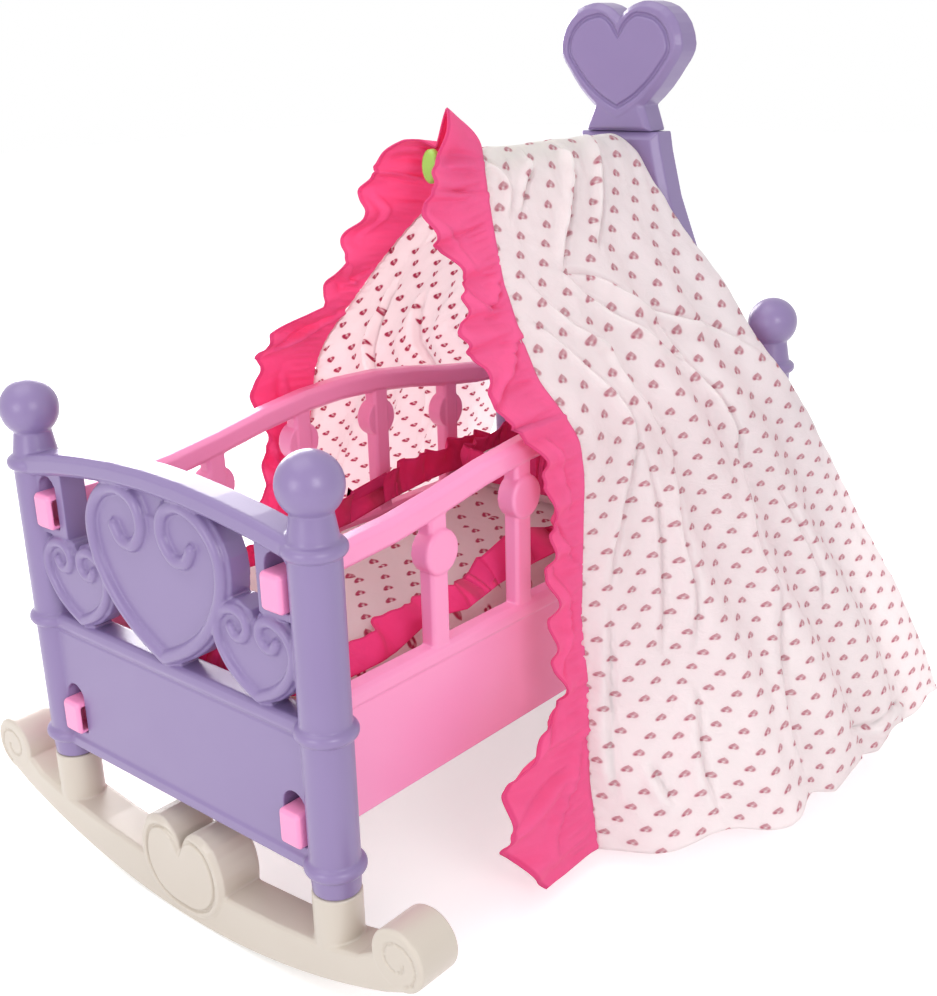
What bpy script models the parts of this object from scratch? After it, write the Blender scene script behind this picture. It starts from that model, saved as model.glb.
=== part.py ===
"""Doll cradle with heart ornaments, rockers, bedding and a draped canopy.

Units are metres, +Z is up and the floor is z = 0. X runs across the cradle, Y from the footboard
to the headboard. The origin is the middle of the whole object's footprint on the floor.
"""
import math

import bmesh
import bpy
import numpy as np

# Layout of the whole cradle.
POST_SPACING = 0.250
BED_LENGTH = 0.4717
FRONT_REACH = 0.0165
CLOTH_REAR_REACH = 0.040
CLOTH_REACH_X = 0.265
SKIRT_Z = 0.0715
FOOT_Y = -(BED_LENGTH + CLOTH_REAR_REACH - FRONT_REACH) / 2
HEAD_Y = FOOT_Y + BED_LENGTH
HALF_SPACING = POST_SPACING / 2
SEAT_GAP = 0.0003
SINK = 0.0015

# Posts of the end boards. Heights are above the boards' lower edge, as are all board heights.
POST_SEGMENTS = 16
POST_RADIUS = 0.01375
COLLAR_RADIUS = 0.018
COLLAR_HALF_HEIGHT = 0.0043
COLLAR_RING_SHARE = 0.7
COLLAR_HEIGHTS = (0.0157, 0.09905, 0.2029)
NECK_BOTTOM_RADIUS = 0.01385
NECK_TOP_RADIUS = 0.0114
NECK_BOTTOM_Z = 0.2075
BALL_RADIUS = 0.018
BALL_Z = 0.2362
BALL_RINGS = 7

# Top rail, lower panel and webs of the end boards.
RAIL_CROWN_Z = 0.2160
RAIL_FALL = 0.0130
RAIL_ARCH_SHARES = ((0.0, 0.0), (0.24, 0.07), (0.48, 0.28), (0.72, 0.59), (0.95, 1.0))
RAIL_ARCH = tuple((reach * HALF_SPACING, RAIL_CROWN_Z - fall * RAIL_FALL)
                  for reach, fall in RAIL_ARCH_SHARES)
RAIL_HALF_HEIGHT = 0.0065
RAIL_HALF_DEPTH = 0.011
RAIL_ROUNDING = 0.003
RAIL_SHIFT = 0.003
PANEL_HALF_DEPTH = 0.0085
PANEL_LIP_HALF_DEPTH = 0.010
PANEL_BOTTOM_Z = 0.0095
PANEL_TOP_Z = 0.104
BOTTOM_LIP_HEIGHT = 0.0095
TOP_LIP_HEIGHT = 0.010
LIP_GROOVE = 0.0018
WEB_INSET = 0.037
WEB_INNER_X = HALF_SPACING - WEB_INSET
WEB_BOTTOM_Z = 0.1600
WEB_HALF_DEPTH = 0.0085
BOARD_END_INSET = 0.005
BOARD_END_X = HALF_SPACING - BOARD_END_INSET

# Scrolled hearts. Shares run from the curl's inner end over the lobe down to the tip.
SCROLL_SHARES = (
    (0.60, 0.76), (0.50, 0.68), (0.34, 0.665), (0.21, 0.73), (0.155, 0.83), (0.23, 0.945),
    (0.46, 1.0), (0.74, 0.955), (0.94, 0.83), (1.0, 0.68), (0.93, 0.49), (0.72, 0.29),
    (0.41, 0.13), (0.0, 0.0))
SCROLL_LOBE_START = 4
BIG_HEART_SHARE = 0.472
BIG_HEART_HALF_WIDTH = BIG_HEART_SHARE * HALF_SPACING
BIG_HEART_TIP_Z = 0.107
BIG_HEART_TOP_Z = 0.206
BIG_RIB_RADIUS = 0.0044
SMALL_HEART_PLACE_SHARE = 0.656
SMALL_HEART_SHARE = 0.248
SMALL_HEART_X = SMALL_HEART_PLACE_SHARE * HALF_SPACING
SMALL_HEART_HALF_WIDTH = SMALL_HEART_SHARE * HALF_SPACING
SMALL_HEART_TIP_Z = 0.108
SMALL_HEART_TOP_Z = 0.1565
SMALL_RIB_RADIUS = 0.0035
RIB_SIDES = 6
RIB_END_SHARE = 0.97
HEART_SHOULDER = 0.0018
HEART_BACK = 0.0070
HEART_FACE = 0.0080
HEART_CHAMFER = 0.0015
BRIDGE_HALF_WIDTH = 0.026
BRIDGE_BOTTOM_SHARE = 0.80

# Hook slots in the end boards and the side panels' tabs in them.
TAB_INSET = 0.0210
TAB_X = HALF_SPACING - TAB_INSET
TAB_WIDTH = 0.0168
TAB_HEIGHT = 0.0222
TAB_REACH = 0.0140
TAB_WALL = 0.0030
TAB_CHAMFER = 0.0018
SLOT_CLEARANCE = 0.0004
SLOT_HEIGHT = 0.033
SLOT_BOTTOMS = (0.0240, 0.1650)

# Side panels. Y values are measured from the footboard's posts.
SIDE_START_GAP = 0.0006
SIDE_START = PANEL_LIP_HALF_DEPTH + SIDE_START_GAP
SIDE_INSET = 0.0180
SIDE_THICKNESS = 0.0140
SIDE_OUTER_X = HALF_SPACING - SIDE_INSET
SIDE_INNER_X = SIDE_OUTER_X - SIDE_THICKNESS
SIDE_RECESS = 0.0015
SIDE_BOTTOM_Z = 0.0175
SIDE_TOP_Z = 0.1000
SIDE_LIP_HEIGHT = 0.0115
SIDE_LIP_ROUNDING = 0.0028
LEDGE_WIDTH = 0.0090
LEDGE_INNER_X = SIDE_INNER_X - LEDGE_WIDTH
LEDGE_BOTTOM_Z = 0.0580
LEDGE_TOP_Z = 0.0660
STILE_LENGTH = 0.0170
STILE_TOP_Z = 0.1885
SIDE_RAIL_HALF_HEIGHT = 0.0080
SIDE_RAIL_ROUNDING = 0.0030
SIDE_RAIL_LOW_Z = 0.1795
SIDE_RAIL_RISE = 0.0225
SIDE_RAIL_ARCH_SHARES = (
    (0.0225, 0.0), (0.0848, 0.044), (0.1696, 0.156), (0.2544, 0.40), (0.3392, 0.711),
    (0.4240, 0.933), (0.5, 1.0))
SIDE_RAIL_ARCH = tuple((reach * BED_LENGTH, SIDE_RAIL_LOW_Z + rise * SIDE_RAIL_RISE)
                       for reach, rise in SIDE_RAIL_ARCH_SHARES)
BALUSTER_SPACING_SHARE = 0.1696
BALUSTER_SPACING = BALUSTER_SPACING_SHARE * BED_LENGTH
BALUSTER_COUNT = 4
BALUSTER_HALF_WIDTH = 0.0078
BALUSTER_RECESS = 0.0012
BALUSTER_INNER_X = SIDE_INNER_X + BALUSTER_RECESS
BALUSTER_OUTER_X = SIDE_OUTER_X - BALUSTER_RECESS
BALUSTER_CHAMFER = 0.0020
MEDALLION_RADIUS = 0.01425
MEDALLION_DROP = 0.0285
MEDALLION_PROUD = 0.0015
MEDALLION_THICKNESS = 0.0135
MEDALLION_OUTER_X = SIDE_OUTER_X + MEDALLION_PROUD
MEDALLION_INNER_X = MEDALLION_OUTER_X - MEDALLION_THICKNESS
MEDALLION_SEGMENTS = 16

# Hidden floor of the cradle.
BASE_THICKNESS = 0.006
BASE_SIDE_GAP = 0.0012

# Rockers. Heights are above the floor.
ROCKER_RADIUS = 0.475
ROCKER_ARC_REACH = 0.172
ROCKER_ARC_STEPS = 27
ROCKER_HALF_DEPTH = 0.0145
ROCKER_CHAMFER = 0.0020
ROCKER_BEAM = 0.0304
ROCKER_TOP_SHARES = ((0.965, 0.862), (0.884, 0.727), (0.727, 0.783), (0.494, 0.918), (0.262, 1.0))
SCROLL_OVERHANG = 0.011
SCROLL_X = ROCKER_ARC_REACH + SCROLL_OVERHANG
SCROLL_RISE = 0.0265
SCROLL_RADIUS = 0.0190
SCROLL_SEGMENTS = 20
SCROLL_HEEL_ANGLE = math.radians(-62)
SPIRAL_OUTER_RADIUS = 0.0155
SPIRAL_INNER_RADIUS = 0.0045
SPIRAL_START = math.radians(-75)
SPIRAL_TURN = 1.25 * math.tau
SPIRAL_STEPS = 13
GROOVE_WIDTH = 0.0024
GROOVE_DEPTH = 0.0016
BOSS_HALF_DEPTH = FRONT_REACH
BOSS_HALF_WIDTH = 0.0400
BOSS_BOTTOM_Z = 0.0050
BOSS_TOP_Z = 0.0675
BOSS_CHAMFER = 0.0030
BOSS_FIELD_HALF_WIDTH = 0.0325
BOSS_FIELD_BOTTOM_Z = 0.0110
BOSS_FIELD_TOP_Z = 0.0615
BOSS_GROOVE_WIDTH = 0.0034
BOSS_GROOVE_DEPTH = 0.0020
ROUND_HEART_SHARES = (
    (0.0, 0.71), (0.10, 0.86), (0.28, 0.97), (0.50, 1.0), (0.78, 0.92), (0.95, 0.73),
    (1.0, 0.53), (0.94, 0.33), (0.72, 0.13), (0.38, 0.02), (0.0, 0.0))
LEG_RADIUS = 0.0145
LEG_FOOT_Z = 0.028
SPIGOT_RADIUS = 0.011
SPIGOT_HEIGHT = 0.020
SPIGOT_CLEARANCE = 0.0003

# Mast and heart head. Y values are measured from the footboard's posts, heights from the boards'.
MAST_SETBACK = 0.0132
MAST_Y = BED_LENGTH - MAST_SETBACK
MAST_HALF_DEPTH = 0.0137
MAST_CHAMFER = 0.0050
MAST_SIDE = ((0.0880, 0.2232), (0.0720, 0.2620), (0.0570, 0.2980), (0.0460, 0.3250),
             (0.0372, 0.3580), (0.0347, 0.3717))
MAST_LAP_HALF_WIDTH = 0.060
MAST_LAP_BOTTOM_Z = 0.170
MAST_LAP_GAP = 0.0010
NICHE_HALF_WIDTH = 0.022
NICHE_BOTTOM_Z = 0.300
NICHE_SPRING_Z = 0.344
NICHE_DEPTH = 0.004
HEAD_HEART_HALF_WIDTH = 0.054
HEAD_HEART_TIP_Z = 0.377
HEAD_HEART_TOP_Z = 0.463
HEAD_HEART_CHAMFER = 0.0040
HEAD_FIELD_HALF_WIDTH = 0.0440
HEAD_FIELD_TIP_Z = 0.3895
HEAD_FIELD_TOP_Z = 0.4540
HEAD_GROOVE_WIDTH = 0.0045
HEAD_GROOVE_DEPTH = 0.0022
HEAD_HEART_SHARES = (
    (0.0, 0.885), (0.14, 0.955), (0.30, 0.992), (0.46, 1.0), (0.72, 0.95), (0.92, 0.82),
    (1.0, 0.65), (0.955, 0.55), (0.86, 0.465), (0.66, 0.30), (0.40, 0.15), (0.18, 0.06),
    (0.0, 0.0))
HEAD_FIELD_SHARES = ((0.0, 0.76), (0.12, 0.90)) + HEAD_HEART_SHARES[2:]
NECK_SIDE = ((0.0290, 0.3720), (0.0225, 0.3900), (0.0215, 0.4050))
TONGUE_HALF_WIDTH = 0.015
TONGUE_HALF_DEPTH = 0.0024
TONGUE_HEIGHT = 0.020
TONGUE_SHIFT = 0.0035
TONGUE_GAP = 0.0004

# Canopy arm.
ARM_HALF_WIDTH = 0.0060
ARM_TOP_Z = 0.3665
ARM_HALF_HEIGHT = 0.0058
ARM_ROOT_DEPTH = 0.0080
ARM_LENGTH = 0.2083
ARM_TIP_Y = MAST_Y - MAST_HALF_DEPTH - ARM_LENGTH
ARM_CLIP_HALF_WIDTH = 0.0072
ARM_CLIP_HALF_HEIGHT = 0.0110
ARM_CLIP_THICKNESS = 0.0070
ARM_CLIP_Z = 0.3640
ARM_CLIP_SEGMENTS = 20

# Canopy, from the ridge to the hem. Rows hold the height as a share of the ridge's height, the
# front edge's spread and place along the bed, then the rear edge's. A spread of 1 is at the posts
# and 2 at the cloth's full reach; places are shares of the canopy's depth from the head posts.
CANOPY_RIDGE_Z = 0.3725
CANOPY_DEPTH = 0.280
CLOTH_REAR_SHARE = CLOTH_REAR_REACH / CANOPY_DEPTH
DRAPE_SHARES = (
    (1.000, 0.000, -0.671, 0.000, -0.125), (0.993, 0.048, -0.696, 0.096, -0.121),
    (0.956, 0.096, -0.711, 0.208, -0.118), (0.894, 0.216, -0.757, 0.328, -0.114),
    (0.792, 0.440, -0.839, 0.592, -0.114), (0.703, 0.624, -0.875, 0.848, -0.114),
    (0.642, 0.760, -0.896, 0.968, -0.114), (0.591, 0.880, -0.879, 1.093, -0.107),
    (0.545, 0.960, -0.861, 1.186, -0.082), (0.483, 0.992, -0.861, 1.250, -0.036),
    (0.376, 1.043, -0.900, 1.371, 0.014), (0.255, 1.093, -0.939, 1.507, 0.050),
    (0.121, 1.164, -0.954, 1.707, 0.093), (0.000, 1.229, -1.000, 1.871, 0.118),
    (-0.115, 1.293, -1.000, 1.979, CLOTH_REAR_SHARE))
# Spread and place of the far panel's rear edge, which hangs further back, in the last rows.
FAR_REAR_SHARES = (
    (1.186, -0.061), (1.230, 0.070), (1.286, CLOTH_REAR_SHARE), (1.393, CLOTH_REAR_SHARE),
    (1.600, CLOTH_REAR_SHARE), (1.871, CLOTH_REAR_SHARE), (1.979, CLOTH_REAR_SHARE))
HEM_BELLY_START_Z = 0.190
HEM_BELLY_POWER = 7.0
HEM_BULGE = 0.004
HEM_FRONT_DROP = 0.016
DRAPE_ROWS = 18
DRAPE_COLUMNS = 15
DRAPE_ROW_SPREAD = 1.4
FOLD_COUNT = 4.5
FOLD_RIDGE = 0.0015
FOLD_HEM = 0.0060
HEM_SCALLOP = 0.0040
HEM_SCALLOP_COUNT = 5
CLOTH_THICKNESS = 0.0024

# Canopy ruffle. Rows hold the place along the seam from ridge to hem, then the strip's width
# towards the foot, its outward lean and its rise, as shares of the ruffle's full width.
RUFFLE_FULL_WIDTH = 0.087
NEAR_RUFFLE_SHARES = (
    (0.000, 0.494, 0.000, 0.034), (0.010, 0.437, 0.046, 0.345), (0.020, 0.460, 0.023, 0.207),
    (0.033, 0.517, 0.011, 0.046), (0.055, 0.655, 0.000, 0.000), (0.107, 0.701, 0.069, -0.092),
    (0.200, 0.345, 0.011, 0.000), (0.275, 0.609, 0.011, 0.000), (0.330, 0.506, -0.023, 0.034),
    (0.400, 0.552, -0.011, 0.000), (0.490, 0.414, 0.000, 0.000), (0.565, 0.368, 0.023, 0.000),
    (0.670, 0.356, 0.023, 0.000), (0.785, 0.299, 0.023, 0.000), (0.810, 0.552, 0.023, 0.000),
    (0.850, 0.908, 0.011, 0.046), (0.925, 1.000, 0.011, 0.000), (1.000, 0.632, 0.046, -0.011))
FAR_RUFFLE_SHARES = (
    (0.000, 0.494, 0.000, 0.034), (0.010, 0.552, 0.034, 0.115), (0.020, 0.621, 0.046, 0.149),
    (0.047, 0.621, 0.287, 0.103), (0.107, 0.483, 0.230, 0.080), (0.210, 0.368, 0.046, 0.034),
    (0.290, 0.276, 0.023, 0.057), (0.330, 0.598, 0.080, 0.057), (0.410, 0.552, 0.080, 0.092),
    (0.455, 0.621, 0.069, 0.046), (0.565, 0.391, 0.023, 0.000), (0.785, 0.345, 0.023, 0.000),
    (0.850, 0.690, 0.011, 0.046), (1.000, 0.632, 0.046, -0.011))
RUFFLE_RISE_POWER = 0.6
RUFFLE_STEP_SPREAD = 1.25
RUFFLE_STEPS = 42
RUFFLE_WIDTH_STEPS = 3
RUFFLE_WAVES = 9
RUFFLE_WAVE = 0.0060
RUFFLE_GAP = 0.0030

# Bedding. X and Y extents are half sizes; heights are above the boards' lower edge.
COVERLET_SIDE_GAP = 0.0155
COVERLET_FOOT_GAP = 0.026
COVERLET_HEAD_GAP = 0.0377
COVERLET_HALF_WIDTH = SIDE_INNER_X - COVERLET_SIDE_GAP
COVERLET_START = COVERLET_FOOT_GAP
COVERLET_END = BED_LENGTH - COVERLET_HEAD_GAP
COVERLET_HEIGHT = 0.0300
COVERLET_COLUMNS = 12
COVERLET_ROWS = 20
COVERLET_CHANNEL = 0.0015
COVERLET_CHANNEL_COUNT = 6
BEDDING_GAP = 0.0006
PILLOW_GAP = 0.0002
COVERLET_RUFFLE_OFFSET = 0.0032
COVERLET_RUFFLE_STEPS = 76
COVERLET_RUFFLE_WAVES = 22
COVERLET_RUFFLE_WAVE = 0.0036
COVERLET_RUFFLE_FOOT_Z = 0.078
COVERLET_RUFFLE_NEAR_Z = 0.113
COVERLET_RUFFLE_FAR_Z = 0.132
PILLOW_SIDE_INSET = 0.0115
PILLOW_HEAD_INSET = 0.014
PILLOW_LENGTH = 0.087
PILLOW_HALF_WIDTH = COVERLET_HALF_WIDTH - PILLOW_SIDE_INSET
PILLOW_END = COVERLET_END - PILLOW_HEAD_INSET
PILLOW_START = PILLOW_END - PILLOW_LENGTH
PILLOW_HEIGHT = 0.034
PILLOW_COLUMNS = 12
PILLOW_ROWS = 8
PILLOW_RUFFLE_OFFSET = 0.0026
PILLOW_RUFFLE_STEPS = 48
PILLOW_RUFFLE_WAVES = 15
PILLOW_RUFFLE_WAVE = 0.0028
PILLOW_RUFFLE_FOOT = 0.010
PILLOW_RUFFLE_TOP = 0.042
CORNER_TUCK_SHARE = 0.10
RIM_SHARE = 0.35
BAND_THICKNESS = 0.0022
BAND_ROWS = 2


def clear_scene():
    """Remove everything that is in the scene."""
    for item in list(bpy.data.objects):
        bpy.data.objects.remove(item, do_unlink=True)
    for mesh in list(bpy.data.meshes):
        bpy.data.meshes.remove(mesh)


def linear(channel):
    """Turn one sRGB channel into a linear one."""
    if channel <= 0.04045:
        return channel / 12.92
    return ((channel + 0.055) / 1.055) ** 2.4


def make_finish(name, rgb, roughness):
    """Make a Principled material from an sRGB colour."""
    finish = bpy.data.materials.new(name)
    finish.use_nodes = True
    shader = finish.node_tree.nodes["Principled BSDF"]
    colour = tuple(linear(channel) for channel in rgb) + (1.0,)
    shader.inputs["Base Color"].default_value = colour
    shader.inputs["Roughness"].default_value = roughness
    finish.diffuse_color = colour
    return finish


def make_object(name, vertices, faces, finish=None):
    """Make a mesh object whose faces look outward."""
    mesh = bpy.data.meshes.new(name)
    mesh.from_pydata([tuple(vertex) for vertex in vertices], [], faces)
    work = bmesh.new()
    work.from_mesh(mesh)
    bmesh.ops.recalc_face_normals(work, faces=work.faces)
    if work.calc_volume(signed=True) < 0:
        bmesh.ops.reverse_faces(work, faces=work.faces)
    work.to_mesh(mesh)
    work.free()
    item = bpy.data.objects.new(name, mesh)
    bpy.context.scene.collection.objects.link(item)
    if finish:
        mesh.materials.append(finish)
    return item


def ring_faces(ring_count, ring_size):
    """Faces of a tube of rings, closed by a cap at each end."""
    faces = []
    for ring in range(ring_count - 1):
        for step in range(ring_size):
            near = ring * ring_size
            far = near + ring_size
            after = (step + 1) % ring_size
            faces.append((near + step, near + after, far + after, far + step))
    last = (ring_count - 1) * ring_size
    faces.append(tuple(range(ring_size)))
    faces.append(tuple(last + step for step in reversed(range(ring_size))))
    return faces


def lathe(name, profile, centre, segments):
    """Turn a profile of (radius, height) about the vertical axis through centre."""
    vertices = []
    for radius, height in profile:
        for step in range(segments):
            angle = math.tau * step / segments
            vertices.append((centre[0] + radius * math.cos(angle),
                             centre[1] + radius * math.sin(angle), centre[2] + height))
    return make_object(name, vertices, ring_faces(len(profile), segments))


def inset(outline, distance):
    """Move a closed outline's corners inward by distance."""
    count = len(outline)
    area = sum(outline[i - 1][0] * outline[i][1] - outline[i][0] * outline[i - 1][1]
               for i in range(count))
    turn = 1 if area > 0 else -1
    moved = []
    for index, (a, b) in enumerate(outline):
        before = np.subtract(outline[index], outline[index - 1])
        after = np.subtract(outline[(index + 1) % count], outline[index])
        normals = [turn * np.array((-edge[1], edge[0])) / np.linalg.norm(edge)
                   for edge in (before, after)]
        middle = normals[0] + normals[1]
        reach = max(float(np.dot(middle, middle)) / 2, 1.0)
        moved.append((a + distance * middle[0] / reach, b + distance * middle[1] / reach))
    return moved


def layered(name, outline, layers, place):
    """Stack copies of an outline; each layer is (depth, inset)."""
    vertices = []
    for depth, shrink in layers:
        ring = inset(outline, shrink) if shrink else outline
        vertices += [place(a, b, depth) for a, b in ring]
    return make_object(name, vertices, ring_faces(len(layers), len(outline)))


def slab_layers(back, front, chamfer):
    """Layers of a slab whose two faces have chamfered edges."""
    return ((back, chamfer), (back + chamfer, 0), (front - chamfer, 0), (front, chamfer))


def rectangle(low_a, high_a, low_b, high_b, corner=0.0):
    """Rectangle outline, with cut corners where corner is given."""
    if not corner:
        return [(low_a, low_b), (high_a, low_b), (high_a, high_b), (low_a, high_b)]
    return [(low_a + corner, low_b), (high_a - corner, low_b), (high_a, low_b + corner),
            (high_a, high_b - corner), (high_a - corner, high_b), (low_a + corner, high_b),
            (low_a, high_b - corner), (low_a, low_b + corner)]


def ellipse(centre_a, centre_b, radius_a, radius_b, segments):
    """Ellipse outline."""
    return [(centre_a + radius_a * math.cos(math.tau * step / segments),
             centre_b + radius_b * math.sin(math.tau * step / segments))
            for step in range(segments)]


def smooth_path(points, steps):
    """Run a smooth curve through the points, with so many steps between two of them."""
    points = [np.array(point, float) for point in points]
    padded = [2 * points[0] - points[1]] + points + [2 * points[-1] - points[-2]]
    path = []
    for index in range(len(points) - 1):
        p0, p1, p2, p3 = padded[index:index + 4]
        for step in range(steps):
            t = step / steps
            path.append(0.5 * (2 * p1 + (p2 - p0) * t + (2 * p0 - 5 * p1 + 4 * p2 - p3) * t ** 2
                               + (3 * p1 - p0 - 3 * p2 + p3) * t ** 3))
    path.append(points[-1])
    return [tuple(point) for point in path]


def sweep(name, path, section, place, closed=False, taper=1.0):
    """Carry a section of (in-plane offset, depth) along a path in a plane."""
    count = len(path)
    vertices = []
    for index, point in enumerate(path):
        before = path[index - 1] if index or closed else point
        after = path[(index + 1) % count] if index < count - 1 or closed else point
        along = np.subtract(after, before)
        along = along / np.linalg.norm(along)
        size = taper if not closed and index in (0, count - 1) else 1.0
        for offset, depth in section:
            vertices.append(place(point[0] - along[1] * offset * size,
                                  point[1] + along[0] * offset * size, depth * size))
    faces = ring_faces(count, len(section))
    if closed:
        faces = faces[:-2]
        last = (count - 1) * len(section)
        for step in range(len(section)):
            after = (step + 1) % len(section)
            faces.append((last + step, last + after, after, step))
    return make_object(name, vertices, faces)


def fuse(name, solids, cuts, finish):
    """Join the solids into one closed body and cut the cutters out of it."""
    body = solids[0]
    body.name = name
    body.data.name = name
    groups = []
    for operation, items in (("UNION", solids[1:]), ("DIFFERENCE", cuts)):
        if not items:
            continue
        group = bpy.data.collections.new(name + "_" + operation.lower())
        groups.append((group, items))
        for item in items:
            item.hide_render = True
            item.display_type = "WIRE"
            group.objects.link(item)
        step = body.modifiers.new(operation.lower(), "BOOLEAN")
        step.operation = operation
        step.operand_type = "COLLECTION"
        step.collection = group
        step.solver = "EXACT"
    graph = bpy.context.evaluated_depsgraph_get()
    graph.update()
    mesh = bpy.data.meshes.new_from_object(body.evaluated_get(graph))
    body.modifiers.clear()
    body.data = mesh
    mesh.name = name
    mesh.materials.clear()
    mesh.materials.append(finish)
    for group, items in groups:
        for item in items:
            bpy.data.objects.remove(item, do_unlink=True)
        bpy.data.collections.remove(group)
    tidy = bmesh.new()
    tidy.from_mesh(mesh)
    bmesh.ops.remove_doubles(tidy, verts=tidy.verts, dist=SINK / 100)
    bmesh.ops.dissolve_degenerate(tidy, dist=SINK / 100, edges=tidy.edges)
    bmesh.ops.triangulate(tidy, faces=tidy.faces)
    tidy.to_mesh(mesh)
    tidy.free()
    return body


def mirrored_heart(shares, centre_x, half_width, tip_z, top_z, steps):
    """Closed heart outline from shares that run from the cleft down to the tip."""
    height = top_z - tip_z
    side = smooth_path([(share_x * half_width, tip_z + share_z * height)
                        for share_x, share_z in shares], steps)
    right = [(centre_x + x, z) for x, z in side]
    left = [(centre_x - x, z) for x, z in reversed(side[1:-1])]
    return right + left


def scroll_path(centre_x, half_width, tip_z, top_z, steps, shares=SCROLL_SHARES):
    """Open scroll from the left curl by way of the tip to the right curl."""
    height = top_z - tip_z
    side = smooth_path([(share_x * half_width, tip_z + share_z * height)
                        for share_x, share_z in shares], steps)
    left = [(centre_x - x, z) for x, z in side]
    right = [(centre_x + x, z) for x, z in reversed(side[:-1])]
    return left + right


def heart_plate(name, centre_x, half_width, tip_z, top_z, rib, steps, place):
    """Flat heart under a scroll, a shoulder wider than the scroll's rib."""
    lobe = scroll_path(centre_x, half_width, tip_z, top_z, steps,
                       SCROLL_SHARES[SCROLL_LOBE_START:])
    outline = inset(lobe, -(rib + HEART_SHOULDER))
    layers = ((-HEART_BACK, 0), (HEART_FACE - HEART_CHAMFER, 0), (HEART_FACE, HEART_CHAMFER))
    return layered(name, outline, layers, place)


def rib_section(radius):
    """Section of a half-sunk round rib on a heart's face."""
    angles = [math.pi / 2 + math.tau * step / RIB_SIDES for step in range(RIB_SIDES)]
    return [(radius * math.cos(angle), HEART_FACE + radius * math.sin(angle))
            for angle in angles]


def post_profile():
    """Profile of an end post from its open foot to the top of the ball."""
    profile = [(POST_RADIUS, 0)]
    for height in COLLAR_HEIGHTS:
        slope = COLLAR_HALF_HEIGHT * COLLAR_RING_SHARE
        bulge = POST_RADIUS + (COLLAR_RADIUS - POST_RADIUS) * COLLAR_RING_SHARE
        profile += [(POST_RADIUS, height - COLLAR_HALF_HEIGHT), (bulge, height - slope),
                    (COLLAR_RADIUS, height), (bulge, height + slope),
                    (POST_RADIUS, height + COLLAR_HALF_HEIGHT)]
    profile.append((NECK_BOTTOM_RADIUS, NECK_BOTTOM_Z))
    low = -math.acos(NECK_TOP_RADIUS / BALL_RADIUS)
    for step in range(BALL_RINGS + 1):
        angle = low + (math.pi / 2 - low) * step / BALL_RINGS
        radius = max(BALL_RADIUS * math.cos(angle), SINK / 10)
        profile.append((radius, BALL_Z + BALL_RADIUS * math.sin(angle)))
    return profile


def panel_section():
    """Upright section of the lower panel with a rounded lip along each edge."""
    bottom_lip = PANEL_BOTTOM_Z + BOTTOM_LIP_HEIGHT
    top_lip = PANEL_TOP_Z - TOP_LIP_HEIGHT
    front = [(PANEL_HALF_DEPTH, PANEL_BOTTOM_Z),
             (PANEL_LIP_HALF_DEPTH, PANEL_BOTTOM_Z + LIP_GROOVE),
             (PANEL_LIP_HALF_DEPTH, bottom_lip - LIP_GROOVE),
             (PANEL_HALF_DEPTH, bottom_lip),
             (PANEL_HALF_DEPTH, top_lip - LIP_GROOVE),
             (PANEL_HALF_DEPTH - LIP_GROOVE / 2, top_lip - LIP_GROOVE / 2),
             (PANEL_LIP_HALF_DEPTH - LIP_GROOVE / 2, top_lip + LIP_GROOVE / 2),
             (PANEL_LIP_HALF_DEPTH, top_lip + 2 * LIP_GROOVE),
             (PANEL_LIP_HALF_DEPTH - LIP_GROOVE / 2, PANEL_TOP_Z - LIP_GROOVE),
             (PANEL_HALF_DEPTH - LIP_GROOVE, PANEL_TOP_Z)]
    return front + [(-depth, height) for depth, height in reversed(front)]


def slot_outline(bottom_z, side):
    """Hook slot with an arched top."""
    half = TAB_WIDTH / 2 + SLOT_CLEARANCE
    spring = bottom_z + SLOT_HEIGHT - half
    centre_x = side * TAB_X
    arch_steps = 8
    arch = [(centre_x + half * math.cos(math.pi * step / arch_steps),
             spring + half * math.sin(math.pi * step / arch_steps))
            for step in range(arch_steps + 1)]
    return arch + [(centre_x - half, bottom_z), (centre_x + half, bottom_z)]


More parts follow.
